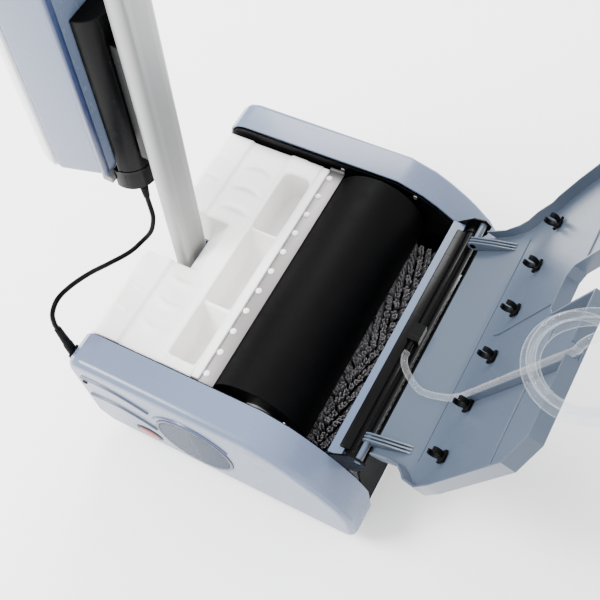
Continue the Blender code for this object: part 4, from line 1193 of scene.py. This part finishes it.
# %% Signal cable
CABLE_DIAMETER = 0.0075
relief_end = handle_turn @ Vector((-0.018, 0.042, 0.2128))
cable_points = [
    relief_end,
    relief_end + 0.014 * Vector((0, math.sin(LEAN), -math.cos(LEAN))),
    (-0.0195, 0.2675, 0.290),
    (-0.023, 0.2675, 0.270),
    (-0.030, 0.276, 0.241),
    (-0.042, 0.291, 0.2205),
    (-0.069, 0.295, 0.2255),
    (-0.104, 0.3045, 0.2385),
    (-0.143, 0.3035, 0.268),
    (-0.183, 0.300, 0.294),
    (-0.212, 0.296, 0.3065),
    (-0.230, 0.296, 0.296),
    (-0.236, 0.2965, 0.276),
    (-0.2365, 0.2965, 0.2626),
]
cable_route = smooth_route(cable_points, 90)
cable = round_cord(
    "signal_cable_jacket",
    cable_route,
    CABLE_DIAMETER,
    cable_black,
    ["signal_cable"],
    (cable_route[0], cable_route[-1]),
)
cable_length = round(route_length(cable_route), 3)
print("signal cable: %.3f m" % cable_length)

# %% [markdown]
# ## Clear tube
# Water reaches the spray bar through a clear tube. It leaves the inlet, runs up the lid in its
# channel, and its spare length lies in a loose coil over the lid's free edge, with a barbed
# fitting on its end.

# %% Clear tube and fitting
TUBE_DIAMETER = 0.0098
CHANNEL_START, CHANNEL_END = (-0.096, 0.1168), (-0.110, 0.3848)
COIL_CENTRE = Vector((-0.132, -0.403, 0.558))
COIL_RADIUS = 0.053
TURN_OFFSETS = [(0.0, 0.0060), (-0.0052, -0.0030), (0.0052, -0.0030), (0.0150, 0.0)]
COIL_START, COIL_SWEEP, COIL_STEPS = -35, 1125, 96
tube_height = LID_INSIDE - 0.0018 - TUBE_DIAMETER / 2 - 0.0018
nozzle_z = 0.180 + 0.0105 + 0.0075


def in_channel(reach, height):
    (x0, y0), (x1, y1) = CHANNEL_START, CHANNEL_END
    return lid_point(x0 + (x1 - x0) * (reach - y0) / (y1 - y0), reach, height)


start, end = CHANNEL_START[1], CHANNEL_END[1]
tube_points = [
    (-0.0310, -0.151, nozzle_z),
    (-0.0400, -0.151, nozzle_z),
    (-0.054, -0.158, nozzle_z + 0.005),
    (-0.070, -0.173, nozzle_z + 0.012),
    (-0.087, -0.199, nozzle_z + 0.022),
    in_channel(start - 0.042, tube_height - 0.0095),
    in_channel(start - 0.012, tube_height - 0.0015),
    in_channel(start + 0.016, tube_height),
    in_channel((start + end) / 2, tube_height),
    in_channel(end - 0.030, tube_height),
    in_channel(end + 0.016, tube_height),
    (-0.1090, -0.3905, 0.5495),
    (-0.1045, -0.3970, 0.5590),
    (-0.0965, -0.4075, 0.5635),
    (-0.0885, -0.4210, 0.5640),
]
for step in range(COIL_STEPS + 1):
    turned = COIL_SWEEP * step / COIL_STEPS
    lap, share = divmod(turned / 360, 1)
    lap = int(lap)
    ease = max(0.0, min(1.0, (share - 0.78) / 0.22)) if lap < 3 else 0.0
    if lap == 3:
        lap, ease = 2, 1.0
    else:
        ease = ease * ease * (3 - 2 * ease)
    (r0, z0), (r1, z1) = TURN_OFFSETS[lap], TURN_OFFSETS[min(lap + 1, 3)]
    radius = COIL_RADIUS + r0 + (r1 - r0) * ease
    angle = math.radians(COIL_START - turned)
    lift = z0 + (z1 - z0) * ease
    spoke = Vector((radius * math.cos(angle), radius * math.sin(angle), lift))
    tube_points.append(COIL_CENTRE + spoke)
tube_route = smooth_route(tube_points, 420)
tube = round_cord(
    "clear_tube_run",
    tube_route,
    TUBE_DIAMETER,
    clear_pvc,
    ["solution_tube", "tube_coil"],
    (tube_points[0], in_channel(start, tube_height)),
    4,
)
fitting = dressed("tube_fitting", grey_abs, 0.0005)
tube_length = round(route_length(tube_route), 2)
print("clear tube: %.2f m" % tube_length)
